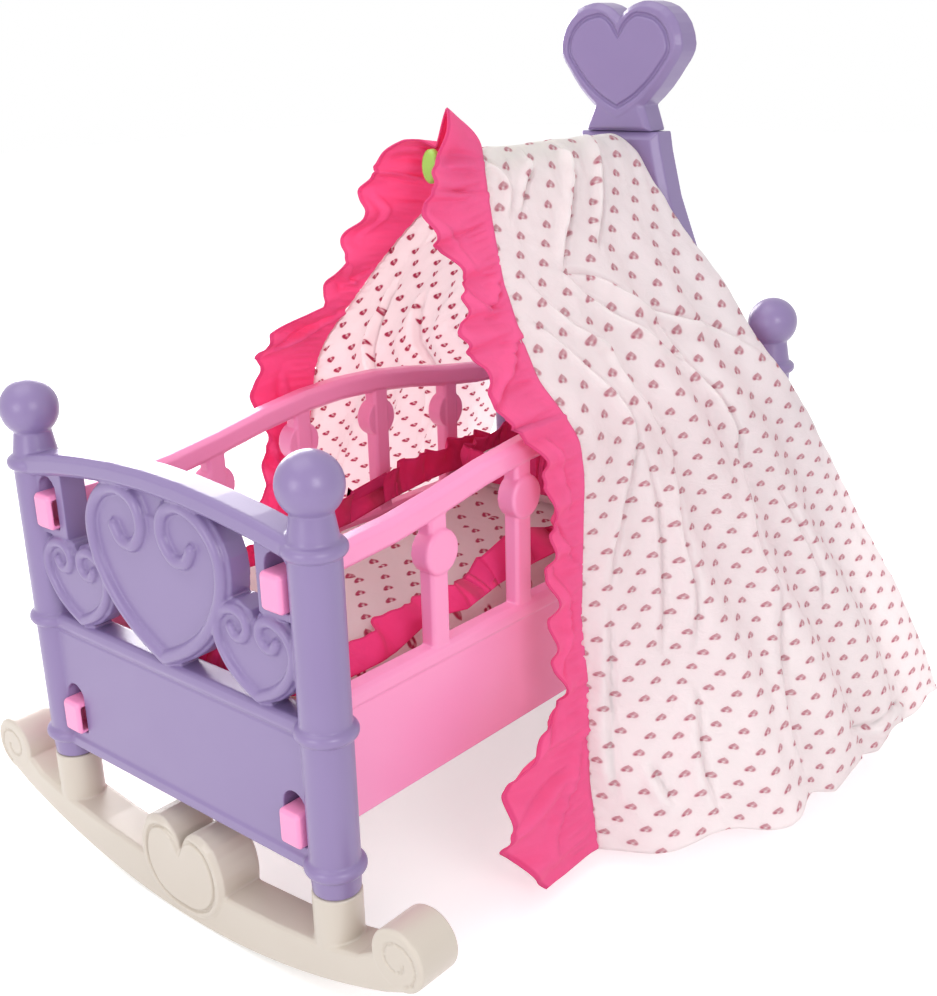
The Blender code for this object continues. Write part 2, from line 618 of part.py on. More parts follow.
def end_board(name, board_y, outward, rail_shift, finish):
    """One end board: posts, rail, panel, hearts, webs and slots as a single moulding."""
    def place(x, z, depth):
        return (x, board_y + outward * depth, SKIRT_Z + z)

    def place_along(depth, z, x):
        return place(x, z, depth)

    solids = []
    cuts = []
    panel = layered(name, panel_section(), ((-BOARD_END_X, 0), (BOARD_END_X, 0)), place_along)
    solids.append(panel)
    rail_path = [(-x, z) for x, z in reversed(RAIL_ARCH[1:])] + list(RAIL_ARCH)
    rail = rectangle(-RAIL_HALF_HEIGHT, RAIL_HALF_HEIGHT, rail_shift - RAIL_HALF_DEPTH,
                     rail_shift + RAIL_HALF_DEPTH, RAIL_ROUNDING)
    solids.append(sweep("rail", rail_path, rail, place))
    solids.append(heart_plate("big_plate", 0, BIG_HEART_HALF_WIDTH, BIG_HEART_TIP_Z,
                              BIG_HEART_TOP_Z, BIG_RIB_RADIUS, 2, place))
    big_rib = scroll_path(0, BIG_HEART_HALF_WIDTH, BIG_HEART_TIP_Z, BIG_HEART_TOP_Z, 2)
    solids.append(sweep("big_rib", big_rib, rib_section(BIG_RIB_RADIUS), place, taper=RIB_END_SHARE))
    bridge_z = BIG_HEART_TIP_Z + BRIDGE_BOTTOM_SHARE * (BIG_HEART_TOP_Z - BIG_HEART_TIP_Z)
    bridge = rectangle(-BRIDGE_HALF_WIDTH, BRIDGE_HALF_WIDTH, bridge_z, RAIL_ARCH[0][1])
    inner_layers = ((SINK - HEART_BACK, 0), (HEART_FACE - SINK, 0))
    solids.append(layered("bridge", bridge, inner_layers, place))
    for side in (-1, 1):
        post_x = side * HALF_SPACING
        solids.append(lathe("post", post_profile(), (post_x, board_y, SKIRT_Z), POST_SEGMENTS))
        centre_x = side * SMALL_HEART_X
        solids.append(heart_plate("small_plate", centre_x, SMALL_HEART_HALF_WIDTH,
                                  SMALL_HEART_TIP_Z, SMALL_HEART_TOP_Z, SMALL_RIB_RADIUS, 1,
                                  place))
        small_rib = scroll_path(centre_x, SMALL_HEART_HALF_WIDTH, SMALL_HEART_TIP_Z,
                                SMALL_HEART_TOP_Z, 1)
        solids.append(sweep("small_rib", small_rib, rib_section(SMALL_RIB_RADIUS), place,
                            taper=RIB_END_SHARE))
        web = rectangle(*sorted((side * WEB_INNER_X, side * BOARD_END_X)), WEB_BOTTOM_Z,
                        RAIL_ARCH[-2][1])
        solids.append(layered("web", web, ((-WEB_HALF_DEPTH, 0), (WEB_HALF_DEPTH, 0)), place))
        for bottom_z in SLOT_BOTTOMS:
            through = RAIL_HALF_DEPTH
            cuts.append(layered("slot", slot_outline(bottom_z, side),
                                ((-through, 0), (through, 0)), place))
        socket_radius = SPIGOT_RADIUS + SPIGOT_CLEARANCE
        socket_top = SPIGOT_HEIGHT + SPIGOT_CLEARANCE
        cuts.append(lathe("socket", ((socket_radius, -socket_top), (socket_radius, socket_top)),
                          (post_x, board_y, SKIRT_Z), POST_SEGMENTS))
    return fuse(name, solids, cuts, finish)


def side_panel(name, side, finish):
    """One side panel: lower panel with a ledge, stiles, rail, balusters and hook tabs."""
    def place(y, z, x):
        return (side * x, FOOT_Y + y, SKIRT_Z + z)

    def place_along(x, z, y):
        return place(y, z, x)

    def place_up(x, y, z):
        return place(y, z, x)

    end_y = BED_LENGTH - SIDE_START
    lip_bottom = SIDE_TOP_Z - SIDE_LIP_HEIGHT
    face_outer = SIDE_OUTER_X - SIDE_RECESS
    face_inner = SIDE_INNER_X + SIDE_RECESS
    section = [(face_inner, SIDE_BOTTOM_Z), (face_outer, SIDE_BOTTOM_Z), (face_outer, lip_bottom),
               (SIDE_OUTER_X, lip_bottom + SIDE_RECESS),
               (SIDE_OUTER_X, SIDE_TOP_Z - SIDE_LIP_ROUNDING),
               (SIDE_OUTER_X - SIDE_LIP_ROUNDING, SIDE_TOP_Z),
               (SIDE_INNER_X + SIDE_LIP_ROUNDING, SIDE_TOP_Z),
               (SIDE_INNER_X, SIDE_TOP_Z - SIDE_LIP_ROUNDING),
               (SIDE_INNER_X, lip_bottom + SIDE_RECESS), (face_inner, lip_bottom),
               (face_inner, LEDGE_TOP_Z), (LEDGE_INNER_X, LEDGE_TOP_Z),
               (LEDGE_INNER_X, LEDGE_BOTTOM_Z), (face_inner, LEDGE_BOTTOM_Z)]
    solids = [layered(name, section, ((SIDE_START, 0), (end_y, 0)), place_along)]
    half_depth = (SIDE_OUTER_X - SIDE_INNER_X) / 2
    middle_x = (SIDE_OUTER_X + SIDE_INNER_X) / 2
    rail = rectangle(-SIDE_RAIL_HALF_HEIGHT, SIDE_RAIL_HALF_HEIGHT, middle_x - half_depth,
                     middle_x + half_depth, SIDE_RAIL_ROUNDING)
    near_half = list(SIDE_RAIL_ARCH[:-1])
    far_half = [(BED_LENGTH - y, z) for y, z in reversed(near_half)]
    rail_path = near_half + [SIDE_RAIL_ARCH[-1]] + far_half
    solids.append(sweep("side_rail", rail_path, rail, place))
    heights = ([point[0] for point in rail_path], [point[1] for point in rail_path])
    for index in range(BALUSTER_COUNT):
        centre_y = BED_LENGTH / 2 + (index - (BALUSTER_COUNT - 1) / 2) * BALUSTER_SPACING
        rail_z = float(np.interp(centre_y, *heights))
        stem = rectangle(BALUSTER_INNER_X, BALUSTER_OUTER_X, centre_y - BALUSTER_HALF_WIDTH,
                         centre_y + BALUSTER_HALF_WIDTH, BALUSTER_CHAMFER)
        solids.append(layered("stem", stem, ((SIDE_TOP_Z - 2 * SINK, 0), (rail_z, 0)), place_up))
        disc = ellipse(centre_y, rail_z - MEDALLION_DROP, MEDALLION_RADIUS, MEDALLION_RADIUS,
                       MEDALLION_SEGMENTS)
        layers = ((MEDALLION_INNER_X, 0), (MEDALLION_OUTER_X - SINK, 0), (MEDALLION_OUTER_X, SINK))
        solids.append(layered("medallion", disc, layers, place))
    tab_low = TAB_X - TAB_WIDTH / 2
    tab_high = TAB_X + TAB_WIDTH / 2
    for start, outer, reach in ((SIDE_START, -TAB_REACH, 1), (end_y, BED_LENGTH + TAB_REACH, -1)):
        stile_end = start + reach * STILE_LENGTH
        stile = rectangle(*sorted((start + reach * SINK / 2, stile_end)),
                          SIDE_TOP_Z - 2 * SINK, STILE_TOP_Z)
        solids.append(layered("stile", stile, ((SIDE_INNER_X + SINK / 5, 0),
                                               (SIDE_OUTER_X - SINK / 5, 0)), place))
        for bottom_z in SLOT_BOTTOMS:
            outline = rectangle(tab_low, tab_high, bottom_z + SEAT_GAP,
                                bottom_z + SEAT_GAP + TAB_HEIGHT, TAB_CHAMFER)
            root = start + reach * STILE_LENGTH / 2
            layers = ((root, 0), (outer + reach * TAB_CHAMFER, 0), (outer, TAB_CHAMFER))
            solids.append(layered("tab", outline, layers, place_along))
    cuts = []
    for outer, reach in ((-TAB_REACH, 1), (BED_LENGTH + TAB_REACH, -1)):
        for bottom_z in SLOT_BOTTOMS:
            low_y, high_y = sorted((outer + reach * TAB_WALL, outer + reach * TAB_REACH))
            pocket = rectangle(low_y, high_y, bottom_z + TAB_WALL, bottom_z + TAB_HEIGHT - TAB_WALL)
            cuts.append(layered("pocket", pocket, ((tab_low - SINK, 0), (tab_high - TAB_WALL, 0)),
                                place))
    return fuse(name, solids, cuts, finish)


def bed_base(finish):
    """Flat floor that lies on the side panels' ledges."""
    half = SIDE_INNER_X + SIDE_RECESS - BASE_SIDE_GAP
    outline = rectangle(-half, half, SIDE_START, BED_LENGTH - SIDE_START)
    low = LEDGE_TOP_Z + SEAT_GAP

    def place(x, y, z):
        return (x, FOOT_Y + y, SKIRT_Z + z)

    base = layered("bed_base", outline, ((low, 0), (low + BASE_THICKNESS, 0)), place)
    base.data.materials.append(finish)


def groove_section(width, depth, face):
    """Section of a cutter that leaves a groove in a face."""
    return [(-width / 2, face + depth), (width / 2, face + depth), (width / 4, face - depth),
            (-width / 4, face - depth)]


def rocker(name, board_y, outward, finish):
    """Rocker with scroll ends, heart boss and the two legs that plug into the posts."""
    def place(x, z, depth):
        return (x, board_y + outward * depth, z)

    resting = math.sqrt(ROCKER_RADIUS ** 2 - (ROCKER_ARC_REACH / ROCKER_ARC_STEPS) ** 2)

    def runner_height(x):
        return resting - math.sqrt(ROCKER_RADIUS ** 2 - x ** 2)

    arc = []
    for step in range(ROCKER_ARC_STEPS + 1):
        x = ROCKER_ARC_REACH * (2 * step / ROCKER_ARC_STEPS - 1)
        arc.append((x, runner_height(x)))
    scroll_z = runner_height(ROCKER_ARC_REACH) + SCROLL_RISE
    top = []
    for share, thickness in ROCKER_TOP_SHARES:
        x = share * ROCKER_ARC_REACH
        top.append((x, runner_height(x) + thickness * ROCKER_BEAM))
    tip = (SCROLL_X + SCROLL_RADIUS * math.cos(SCROLL_HEEL_ANGLE),
           scroll_z + SCROLL_RADIUS * math.sin(SCROLL_HEEL_ANGLE))
    right = [tip, (SCROLL_X, scroll_z)] + top
    outline = arc + right + [(-x, z) for x, z in reversed(right)]
    depth = ROCKER_HALF_DEPTH
    solids = [layered(name, outline, slab_layers(-depth, depth, ROCKER_CHAMFER), place)]
    cuts = []
    field = mirrored_heart(ROUND_HEART_SHARES, 0, BOSS_FIELD_HALF_WIDTH, BOSS_FIELD_BOTTOM_Z,
                           BOSS_FIELD_TOP_Z, 2)
    boss = mirrored_heart(ROUND_HEART_SHARES, 0, BOSS_HALF_WIDTH, BOSS_BOTTOM_Z, BOSS_TOP_Z, 2)
    solids.append(layered("boss", boss, slab_layers(-BOSS_HALF_DEPTH, BOSS_HALF_DEPTH,
                                                    BOSS_CHAMFER), place))
    cuts.append(sweep("field_groove", field,
                      groove_section(BOSS_GROOVE_WIDTH, BOSS_GROOVE_DEPTH, BOSS_HALF_DEPTH),
                      place, closed=True))
    scroll_depth = depth + SINK / 5
    for side in (-1, 1):
        disc = ellipse(side * SCROLL_X, scroll_z, SCROLL_RADIUS, SCROLL_RADIUS, SCROLL_SEGMENTS)
        solids.append(layered("scroll", disc, slab_layers(-scroll_depth, scroll_depth,
                                                          ROCKER_CHAMFER), place))
        spiral = []
        for step in range(SPIRAL_STEPS + 1):
            share = step / SPIRAL_STEPS
            radius = SPIRAL_OUTER_RADIUS + (SPIRAL_INNER_RADIUS - SPIRAL_OUTER_RADIUS) * share
            angle = SPIRAL_START + SPIRAL_TURN * share
            spiral.append((side * (SCROLL_X + radius * math.cos(angle)),
                           scroll_z + radius * math.sin(angle)))
        cuts.append(sweep("spiral", spiral,
                          groove_section(GROOVE_WIDTH, GROOVE_DEPTH, scroll_depth), place))
        leg = ((LEG_RADIUS, LEG_FOOT_Z), (LEG_RADIUS, SKIRT_Z - SEAT_GAP),
               (SPIGOT_RADIUS, SKIRT_Z - SEAT_GAP), (SPIGOT_RADIUS, SKIRT_Z + SPIGOT_HEIGHT
                                                     - SINK),
               (SPIGOT_RADIUS - SINK, SKIRT_Z + SPIGOT_HEIGHT - SPIGOT_CLEARANCE))
        solids.append(lathe("leg", leg, (side * HALF_SPACING, board_y, 0), POST_SEGMENTS))
    return fuse(name, solids, cuts, finish)


def mast(finish):
    """Mast with the arm's niche, the sockets for arm and head, and a lap behind the rail."""
    def place(x, z, depth):
        return (x, FOOT_Y + MAST_Y + depth, SKIRT_Z + z)

    outline = list(MAST_SIDE) + [(-x, z) for x, z in reversed(MAST_SIDE)]
    depth = MAST_HALF_DEPTH
    solids = [layered("canopy_mast", outline, slab_layers(-depth, depth, MAST_CHAMFER), place)]
    lap = rectangle(-MAST_LAP_HALF_WIDTH, MAST_LAP_HALF_WIDTH, MAST_LAP_BOTTOM_Z,
                    MAST_SIDE[0][1] + 2 * MAST_CHAMFER)
    lap_back = BED_LENGTH - RAIL_HALF_DEPTH - MAST_LAP_GAP - MAST_Y
    solids.append(layered("lap", lap, ((-depth + SINK / 5, 0), (lap_back, 0)), place))
    arch_steps = 10
    niche = [(NICHE_HALF_WIDTH * math.cos(math.pi * step / arch_steps),
              NICHE_SPRING_Z + NICHE_HALF_WIDTH * math.sin(math.pi * step / arch_steps))
             for step in range(arch_steps + 1)]
    niche += [(-NICHE_HALF_WIDTH, NICHE_BOTTOM_Z), (NICHE_HALF_WIDTH, NICHE_BOTTOM_Z)]
    cuts = [layered("niche", niche, ((-2 * depth, 0), (-depth + NICHE_DEPTH, 0)), place)]
    low_z = ARM_TOP_Z - 2 * ARM_HALF_HEIGHT - TONGUE_GAP
    socket = rectangle(-ARM_HALF_WIDTH - TONGUE_GAP, ARM_HALF_WIDTH + TONGUE_GAP, low_z,
                       ARM_TOP_Z + TONGUE_GAP)
    cuts.append(layered("arm_socket", socket, ((-2 * depth, 0),
                                               (-depth + NICHE_DEPTH + ARM_ROOT_DEPTH, 0)), place))
    slot = rectangle(-TONGUE_HALF_WIDTH - TONGUE_GAP, TONGUE_HALF_WIDTH + TONGUE_GAP,
                     MAST_SIDE[-1][1] - TONGUE_HEIGHT - TONGUE_GAP, MAST_SIDE[-1][1] + depth)
    cuts.append(layered("head_slot", slot,
                        ((TONGUE_SHIFT - TONGUE_HALF_DEPTH - TONGUE_GAP, 0),
                         (TONGUE_SHIFT + TONGUE_HALF_DEPTH + TONGUE_GAP, 0)), place))
    return fuse("canopy_mast", solids, cuts, finish)


def heart_head(finish):
    """Heart with a raised field, its neck and the tongue that plugs into the mast."""
    def place(x, z, depth):
        return (x, FOOT_Y + MAST_Y + depth, SKIRT_Z + z)

    depth = MAST_HALF_DEPTH
    heart = mirrored_heart(HEAD_HEART_SHARES, 0, HEAD_HEART_HALF_WIDTH, HEAD_HEART_TIP_Z,
                           HEAD_HEART_TOP_Z, 2)
    solids = [layered("mast_heart_head", heart, slab_layers(-depth, depth, HEAD_HEART_CHAMFER),
                      place)]
    neck = list(NECK_SIDE) + [(-x, z) for x, z in reversed(NECK_SIDE)]
    inner = depth - SINK / 3
    solids.append(layered("neck", neck, slab_layers(-inner, inner, HEAD_HEART_CHAMFER), place))
    joint_z = NECK_SIDE[0][1]
    tongue = rectangle(-TONGUE_HALF_WIDTH, TONGUE_HALF_WIDTH, joint_z - TONGUE_HEIGHT,
                       joint_z + TONGUE_HEIGHT)
    solids.append(layered("tongue", tongue, ((TONGUE_SHIFT - TONGUE_HALF_DEPTH, 0),
                                             (TONGUE_SHIFT + TONGUE_HALF_DEPTH, 0)), place))
    field = mirrored_heart(HEAD_FIELD_SHARES, 0, HEAD_FIELD_HALF_WIDTH, HEAD_FIELD_TIP_Z,
                           HEAD_FIELD_TOP_Z, 2)
    section = groove_section(HEAD_GROOVE_WIDTH, HEAD_GROOVE_DEPTH, depth)
    cuts = []
    for face in (-1, 1):
        cuts.append(sweep("field_groove", field, [(a, face * b) for a, b in section], place,
                          closed=True))
    return fuse("mast_heart_head", solids, cuts, finish)


def canopy_arm(finish):
    """Arm from the mast's socket to its rounded tip."""
    def place(x, z, y):
        return (x, FOOT_Y + y, SKIRT_Z + z)

    root = MAST_Y - MAST_HALF_DEPTH + NICHE_DEPTH + ARM_ROOT_DEPTH - TONGUE_GAP
    bar = rectangle(-ARM_HALF_WIDTH, ARM_HALF_WIDTH, ARM_TOP_Z - 2 * ARM_HALF_HEIGHT, ARM_TOP_Z,
                    ARM_HALF_WIDTH / 3)
    solids = [layered("canopy_arm", bar, ((ARM_TIP_Y, 0), (root, 0)), place)]
    clip = ellipse(0, ARM_CLIP_Z, ARM_CLIP_HALF_WIDTH, ARM_CLIP_HALF_HEIGHT, ARM_CLIP_SEGMENTS)
    front = ARM_TIP_Y - ARM_CLIP_THICKNESS / 2
    layers = slab_layers(front, front + ARM_CLIP_THICKNESS, ARM_CLIP_THICKNESS / 4)
    solids.append(layered("clip", clip, layers, place))
    return fuse("canopy_arm", solids, [], finish)


def sheet_solid(name, grid, thickness, finish, closed=False):
    """Closed thin body around a grid of points; closed joins the first and the last column."""
    rows, columns = grid.shape[:2]
    along = np.gradient(grid, axis=0)
    if closed:
        across = (np.roll(grid, -1, axis=1) - np.roll(grid, 1, axis=1)) / 2
    else:
        across = np.gradient(grid, axis=1)
    normal = np.cross(along, across)
    normal /= np.maximum(np.linalg.norm(normal, axis=2, keepdims=True), 1e-12)
    half = thickness / 2
    skins = (grid + normal * half, grid - normal * half)
    vertices = np.concatenate([skin.reshape(-1, 3) for skin in skins])
    offset = rows * columns
    steps = columns if closed else columns - 1
    faces = []
    for row in range(rows - 1):
        for column in range(steps):
            after = (column + 1) % columns
            corners = [row * columns + column, row * columns + after,
                       (row + 1) * columns + after, (row + 1) * columns + column]
            faces.append(tuple(corners))
            faces.append(tuple(offset + corner for corner in reversed(corners)))
    rims = [[(row * columns + column, row * columns + (column + 1) % columns)
             for column in range(steps)] for row in (0, rows - 1)]
    if not closed:
        rims += [[(row * columns + column, (row + 1) * columns + column)
                  for row in range(rows - 1)] for column in (0, columns - 1)]
    for rim in rims:
        for first, second in rim:
            faces.append((first, second, offset + second, offset + first))
    make_object(name, vertices, faces, finish)


def reach_of(spread):
    """Distance from the mid-plane at a spread of the canopy."""
    inner = HALF_SPACING * min(spread, 1)
    return inner + (CLOTH_REACH_X - HALF_SPACING) * max(spread - 1, 0)


def drape_point(side, share, across):
    """Point of the canopy: share runs from ridge to hem, across from front seam to rear edge."""
    stations = np.array(DRAPE_SHARES)
    if side < 0:
        stations[-len(FAR_REAR_SHARES):, 3:] = FAR_REAR_SHARES
    stations[:, 0] *= CANOPY_RIDGE_Z
    stations[:, (2, 4)] *= CANOPY_DEPTH
    for column in (1, 3):
        stations[:, column] = [reach_of(spread) for spread in stations[:, column]]
    steps = np.linalg.norm(np.diff(stations[:, (0, 1)], axis=0), axis=1)
    travel = np.concatenate(([0], np.cumsum(steps)))
    travel /= travel[-1]
    height, front_x, front_y, rear_x, rear_y = (
        float(np.interp(share, travel, stations[:, column])) for column in range(5))
    low = stations[-1, 0]
    belly = float(np.clip((HEM_BELLY_START_Z - height) / (HEM_BELLY_START_Z - low), 0, 1))
    power = 1 + (HEM_BELLY_POWER - 1) * belly
    blend = 1 - (1 - across) ** power
    fold = FOLD_RIDGE + (FOLD_HEM - FOLD_RIDGE) * share
    swing = fold * math.sin(math.pi * across) ** 0.5 * math.sin(math.tau * FOLD_COUNT * across)
    x = front_x + (rear_x - front_x) * blend + HEM_BULGE * belly * math.sin(math.pi * across)
    x += swing * min(1.0, 3 * share)
    y = BED_LENGTH + front_y + (rear_y - front_y) * across
    scallop = HEM_SCALLOP * belly ** 3 * math.sin(math.tau * HEM_SCALLOP_COUNT * across)
    drop = HEM_FRONT_DROP * belly ** 2 * (1 - across) ** HEM_BELLY_POWER
    x = min(max(x, 0), CLOTH_REACH_X - CLOTH_THICKNESS / 2)
    return np.array((side * x, FOOT_Y + y, SKIRT_Z + height - drop - scallop))


def canopy_cloth(finish):
    """Printed canopy over the arm, open to the foot and to the head."""
    grid = []
    for row in range(-DRAPE_ROWS, DRAPE_ROWS + 1):
        side = -1 if row < 0 else 1
        share = (abs(row) / DRAPE_ROWS) ** DRAPE_ROW_SPREAD
        grid.append([drape_point(side, share, column / (DRAPE_COLUMNS - 1))
                     for column in range(DRAPE_COLUMNS)])
    sheet_solid("canopy_cloth", np.array(grid), CLOTH_THICKNESS, finish)


def canopy_ruffle(finish):
    """Gathered strip along the canopy's front edge."""
    grid = []
    for step in range(-RUFFLE_STEPS, RUFFLE_STEPS + 1):
        side = -1 if step < 0 else 1
        stations = np.array(FAR_RUFFLE_SHARES if step < 0 else NEAR_RUFFLE_SHARES)
        stations[:, 1:] *= RUFFLE_FULL_WIDTH
        share = (abs(step) / RUFFLE_STEPS) ** RUFFLE_STEP_SPREAD
        seam = drape_point(side, share, 0)
        width, lean, rise = (float(np.interp(share, stations[:, 0], stations[:, column]))
                             for column in (1, 2, 3))
        wave = math.sin(math.tau * RUFFLE_WAVES * share) * RUFFLE_WAVE
        row = []
        for part in range(RUFFLE_WIDTH_STEPS + 1):
            reach = part / RUFFLE_WIDTH_STEPS
            forward = RUFFLE_GAP + (width - RUFFLE_GAP) * reach
            out = side * (lean + wave) * reach
            row.append(seam + np.array((out, -forward, rise * reach ** RUFFLE_RISE_POWER)))
        grid.append(row)
    sheet_solid("canopy_ruffle", np.array(grid), CLOTH_THICKNESS, finish)


def cushion(name, centre, half_size, height, counts, channel, channel_count, finish):
    """Padded form with a crowned top, drawn-in sides and a flat underside."""
    columns, rows = counts
    vertices = []
    for top in (True, False):
        for row in range(rows + 1):
            for column in range(columns + 1):
                a = 2 * column / columns - 1
                b = 2 * row / rows - 1
                edge = (1 - a ** 8) * (1 - b ** 8)
                crown = max(edge, 0) ** 0.5
                groove = channel * math.cos(math.pi * channel_count * b) ** 2 * crown
                if top:
                    z = height * (RIM_SHARE + (1 - RIM_SHARE) * crown) - groove
                else:
                    z = height * RIM_SHARE * (1 - crown)
                tuck = 1 - CORNER_TUCK_SHARE * (abs(a) * abs(b)) ** 6
                vertices.append((centre[0] + a * half_size[0] * tuck,
                                 centre[1] + b * half_size[1] * tuck, centre[2] + z))
    offset = (rows + 1) * (columns + 1)
    rim = set()
    faces = []
    for row in range(rows):
        for column in range(columns):
            first = row * (columns + 1) + column
            corners = (first, first + 1, first + columns + 2, first + columns + 1)
            faces.append(corners)
            faces.append(tuple(offset + corner for corner in reversed(corners)))
    for row in range(rows + 1):
        for column in range(columns + 1):
            if row in (0, rows) or column in (0, columns):
                rim.add(row * (columns + 1) + column)
    merged = {offset + index: index for index in rim}
    kept = [index for index in range(2 * offset) if index not in merged]
    place = {old: new for new, old in enumerate(kept)}
    faces = [tuple(place[merged.get(corner, corner)] for corner in face) for face in faces]
    make_object(name, [vertices[index] for index in kept], faces, finish)


def rounded_loop(centre, half_size, power, angle):
    """Point and outward direction of a rounded rectangle at an angle."""
    cosine = math.cos(angle)
    sine = math.sin(angle)
    x = math.copysign(abs(cosine) ** (2 / power), cosine)
    y = math.copysign(abs(sine) ** (2 / power), sine)
    outward = np.array((math.copysign(abs(x) ** (power - 1), x) / half_size[0],
                        math.copysign(abs(y) ** (power - 1), y) / half_size[1]))
    outward /= np.linalg.norm(outward)
    return np.array((centre[0] + x * half_size[0], centre[1] + y * half_size[1])), outward


def even_loop(centre, half_size, power, count):
    """Evenly spaced points and outward directions round a rounded rectangle."""
    fine = count * 12
    points = [rounded_loop(centre, half_size, power, math.tau * step / fine)
              for step in range(fine)]
    places = np.array([point for point, outward in points])
    lengths = np.linalg.norm(np.roll(places, -1, axis=0) - places, axis=1)
    travel = np.concatenate(([0], np.cumsum(lengths)))[:-1]
    total = float(lengths.sum())
    picks = [int(np.searchsorted(travel, total * step / count)) % fine for step in range(count)]
    return [points[pick] for pick in picks]


def ruffle_band(name, centre, half_size, steps, waves, wave, low_z, top_of, finish):
    """Upright gathered band round a piece of bedding."""
    loop = even_loop(centre, half_size, 8, steps)
    grid = []
    for row in range(BAND_ROWS + 1):
        share = row / BAND_ROWS
        line = []
        for step, (point, outward) in enumerate(loop):
            swing = wave * math.sin(math.tau * waves * step / steps) * (0.4 + 0.6 * share)
            place = point + outward * swing
            top = top_of(point)
            line.append((place[0], place[1], low_z + (top - low_z) * share))
        grid.append(line)
    sheet_solid(name, np.array(grid), BAND_THICKNESS, finish, closed=True)


def bedding(print_cloth, ruffle_cloth):
    """Coverlet and pillow, each with its ruffle."""
    middle_y = FOOT_Y + (COVERLET_START + COVERLET_END) / 2
    half_length = (COVERLET_END - COVERLET_START) / 2
    bottom = SKIRT_Z + LEDGE_TOP_Z + SEAT_GAP + BASE_THICKNESS + BEDDING_GAP
    cushion("coverlet", (0, middle_y, bottom), (COVERLET_HALF_WIDTH, half_length),
            COVERLET_HEIGHT, (COVERLET_COLUMNS, COVERLET_ROWS), COVERLET_CHANNEL,
            COVERLET_CHANNEL_COUNT, print_cloth)
    size = (COVERLET_HALF_WIDTH + COVERLET_RUFFLE_OFFSET, half_length + COVERLET_RUFFLE_OFFSET)

    def coverlet_top(point):
        share = 0.5 - 0.5 * point[0] / size[0]
        return SKIRT_Z + COVERLET_RUFFLE_NEAR_Z + share * (COVERLET_RUFFLE_FAR_Z
                                                           - COVERLET_RUFFLE_NEAR_Z)

    ruffle_band("coverlet_ruffle", (0, middle_y), size, COVERLET_RUFFLE_STEPS,
                COVERLET_RUFFLE_WAVES, COVERLET_RUFFLE_WAVE, SKIRT_Z + COVERLET_RUFFLE_FOOT_Z,
                coverlet_top, ruffle_cloth)
    pillow_y = FOOT_Y + (PILLOW_START + PILLOW_END) / 2
    pillow_half = (PILLOW_END - PILLOW_START) / 2
    pillow_z = bottom + COVERLET_HEIGHT + PILLOW_GAP
    cushion("pillow", (0, pillow_y, pillow_z), (PILLOW_HALF_WIDTH, pillow_half), PILLOW_HEIGHT,
            (PILLOW_COLUMNS, PILLOW_ROWS), 0, 1, print_cloth)
    size = (PILLOW_HALF_WIDTH + PILLOW_RUFFLE_OFFSET, pillow_half + PILLOW_RUFFLE_OFFSET)

    def pillow_top(point):
        return pillow_z + PILLOW_RUFFLE_TOP

    ruffle_band("pillow_ruffle", (0, pillow_y), size, PILLOW_RUFFLE_STEPS, PILLOW_RUFFLE_WAVES,
                PILLOW_RUFFLE_WAVE, pillow_z + PILLOW_RUFFLE_FOOT, pillow_top, ruffle_cloth)


def build():
    """Build the whole cradle."""
    clear_scene()
    lilac = make_finish("plastic_lilac", (0.61, 0.53, 0.72), 0.35)
    pink = make_finish("plastic_pink", (0.98, 0.52, 0.75), 0.35)
    cream = make_finish("plastic_cream", (0.89, 0.85, 0.79), 0.40)
    lime = make_finish("plastic_lime", (0.66, 0.82, 0.38), 0.40)
    board = make_finish("base_board", (0.93, 0.91, 0.88), 0.70)
    print_cloth = make_finish("fabric_print", (0.96, 0.90, 0.90), 0.90)
    ruffle_cloth = make_finish("fabric_hot_pink", (0.97, 0.25, 0.50), 0.85)
    end_board("footboard", FOOT_Y, -1, RAIL_SHIFT, lilac)
    end_board("headboard", HEAD_Y, 1, 0, lilac)
    side_panel("side_panel_right", 1, pink)
    side_panel("side_panel_left", -1, pink)
    bed_base(board)
    rocker("rocker_foot", FOOT_Y, -1, cream)
    rocker("rocker_head", HEAD_Y, 1, cream)
    mast(lilac)
    heart_head(lilac)
    canopy_arm(lime)
    canopy_cloth(print_cloth)
    canopy_ruffle(ruffle_cloth)
    bedding(print_cloth, ruffle_cloth)


build()
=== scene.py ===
"""Looks of a toy doll cradle: moulded plastic, printed cotton canopy, ruffles and padded bedding.

Units are metres, +Z is up, Y runs from the footboard to the headboard.
"""

import math

import bmesh
import bpy
import numpy as np
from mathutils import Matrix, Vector, noise
from mathutils.bvhtree import BVHTree


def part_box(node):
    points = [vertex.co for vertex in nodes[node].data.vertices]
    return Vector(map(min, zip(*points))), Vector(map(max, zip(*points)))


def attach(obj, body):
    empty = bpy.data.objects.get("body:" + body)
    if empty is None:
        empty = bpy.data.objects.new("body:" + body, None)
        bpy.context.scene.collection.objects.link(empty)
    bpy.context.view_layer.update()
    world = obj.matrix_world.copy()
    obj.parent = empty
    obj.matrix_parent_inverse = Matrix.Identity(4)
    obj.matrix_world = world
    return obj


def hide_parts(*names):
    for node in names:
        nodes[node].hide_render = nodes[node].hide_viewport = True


MM = 0.001

# The camera that the photograph was taken with, found from the cradle's corners.
CAMERA_PLACE = (0.58858, -0.66391, 0.51288)
CAMERA_TURN_DEGREES = (69.720, 1.537, 40.886)
CAMERA_FOCUS_PIXELS = 1317.43
CAMERA_MIDDLE_PIXELS = (455.97, 524.70)
PICTURE_WIDTH = 937
PICTURE_HEIGHT = 996
SENSOR_MM = 36

# Cloth and print sizes. Every other row of the print is shifted by half its pitch.
CLOTH_THICKNESS = 0.9 * MM
PRINT_PITCH = 29.0 * MM
PRINT_ROW_PITCH = 12.0 * MM
PRINT_TURN = math.radians(11)
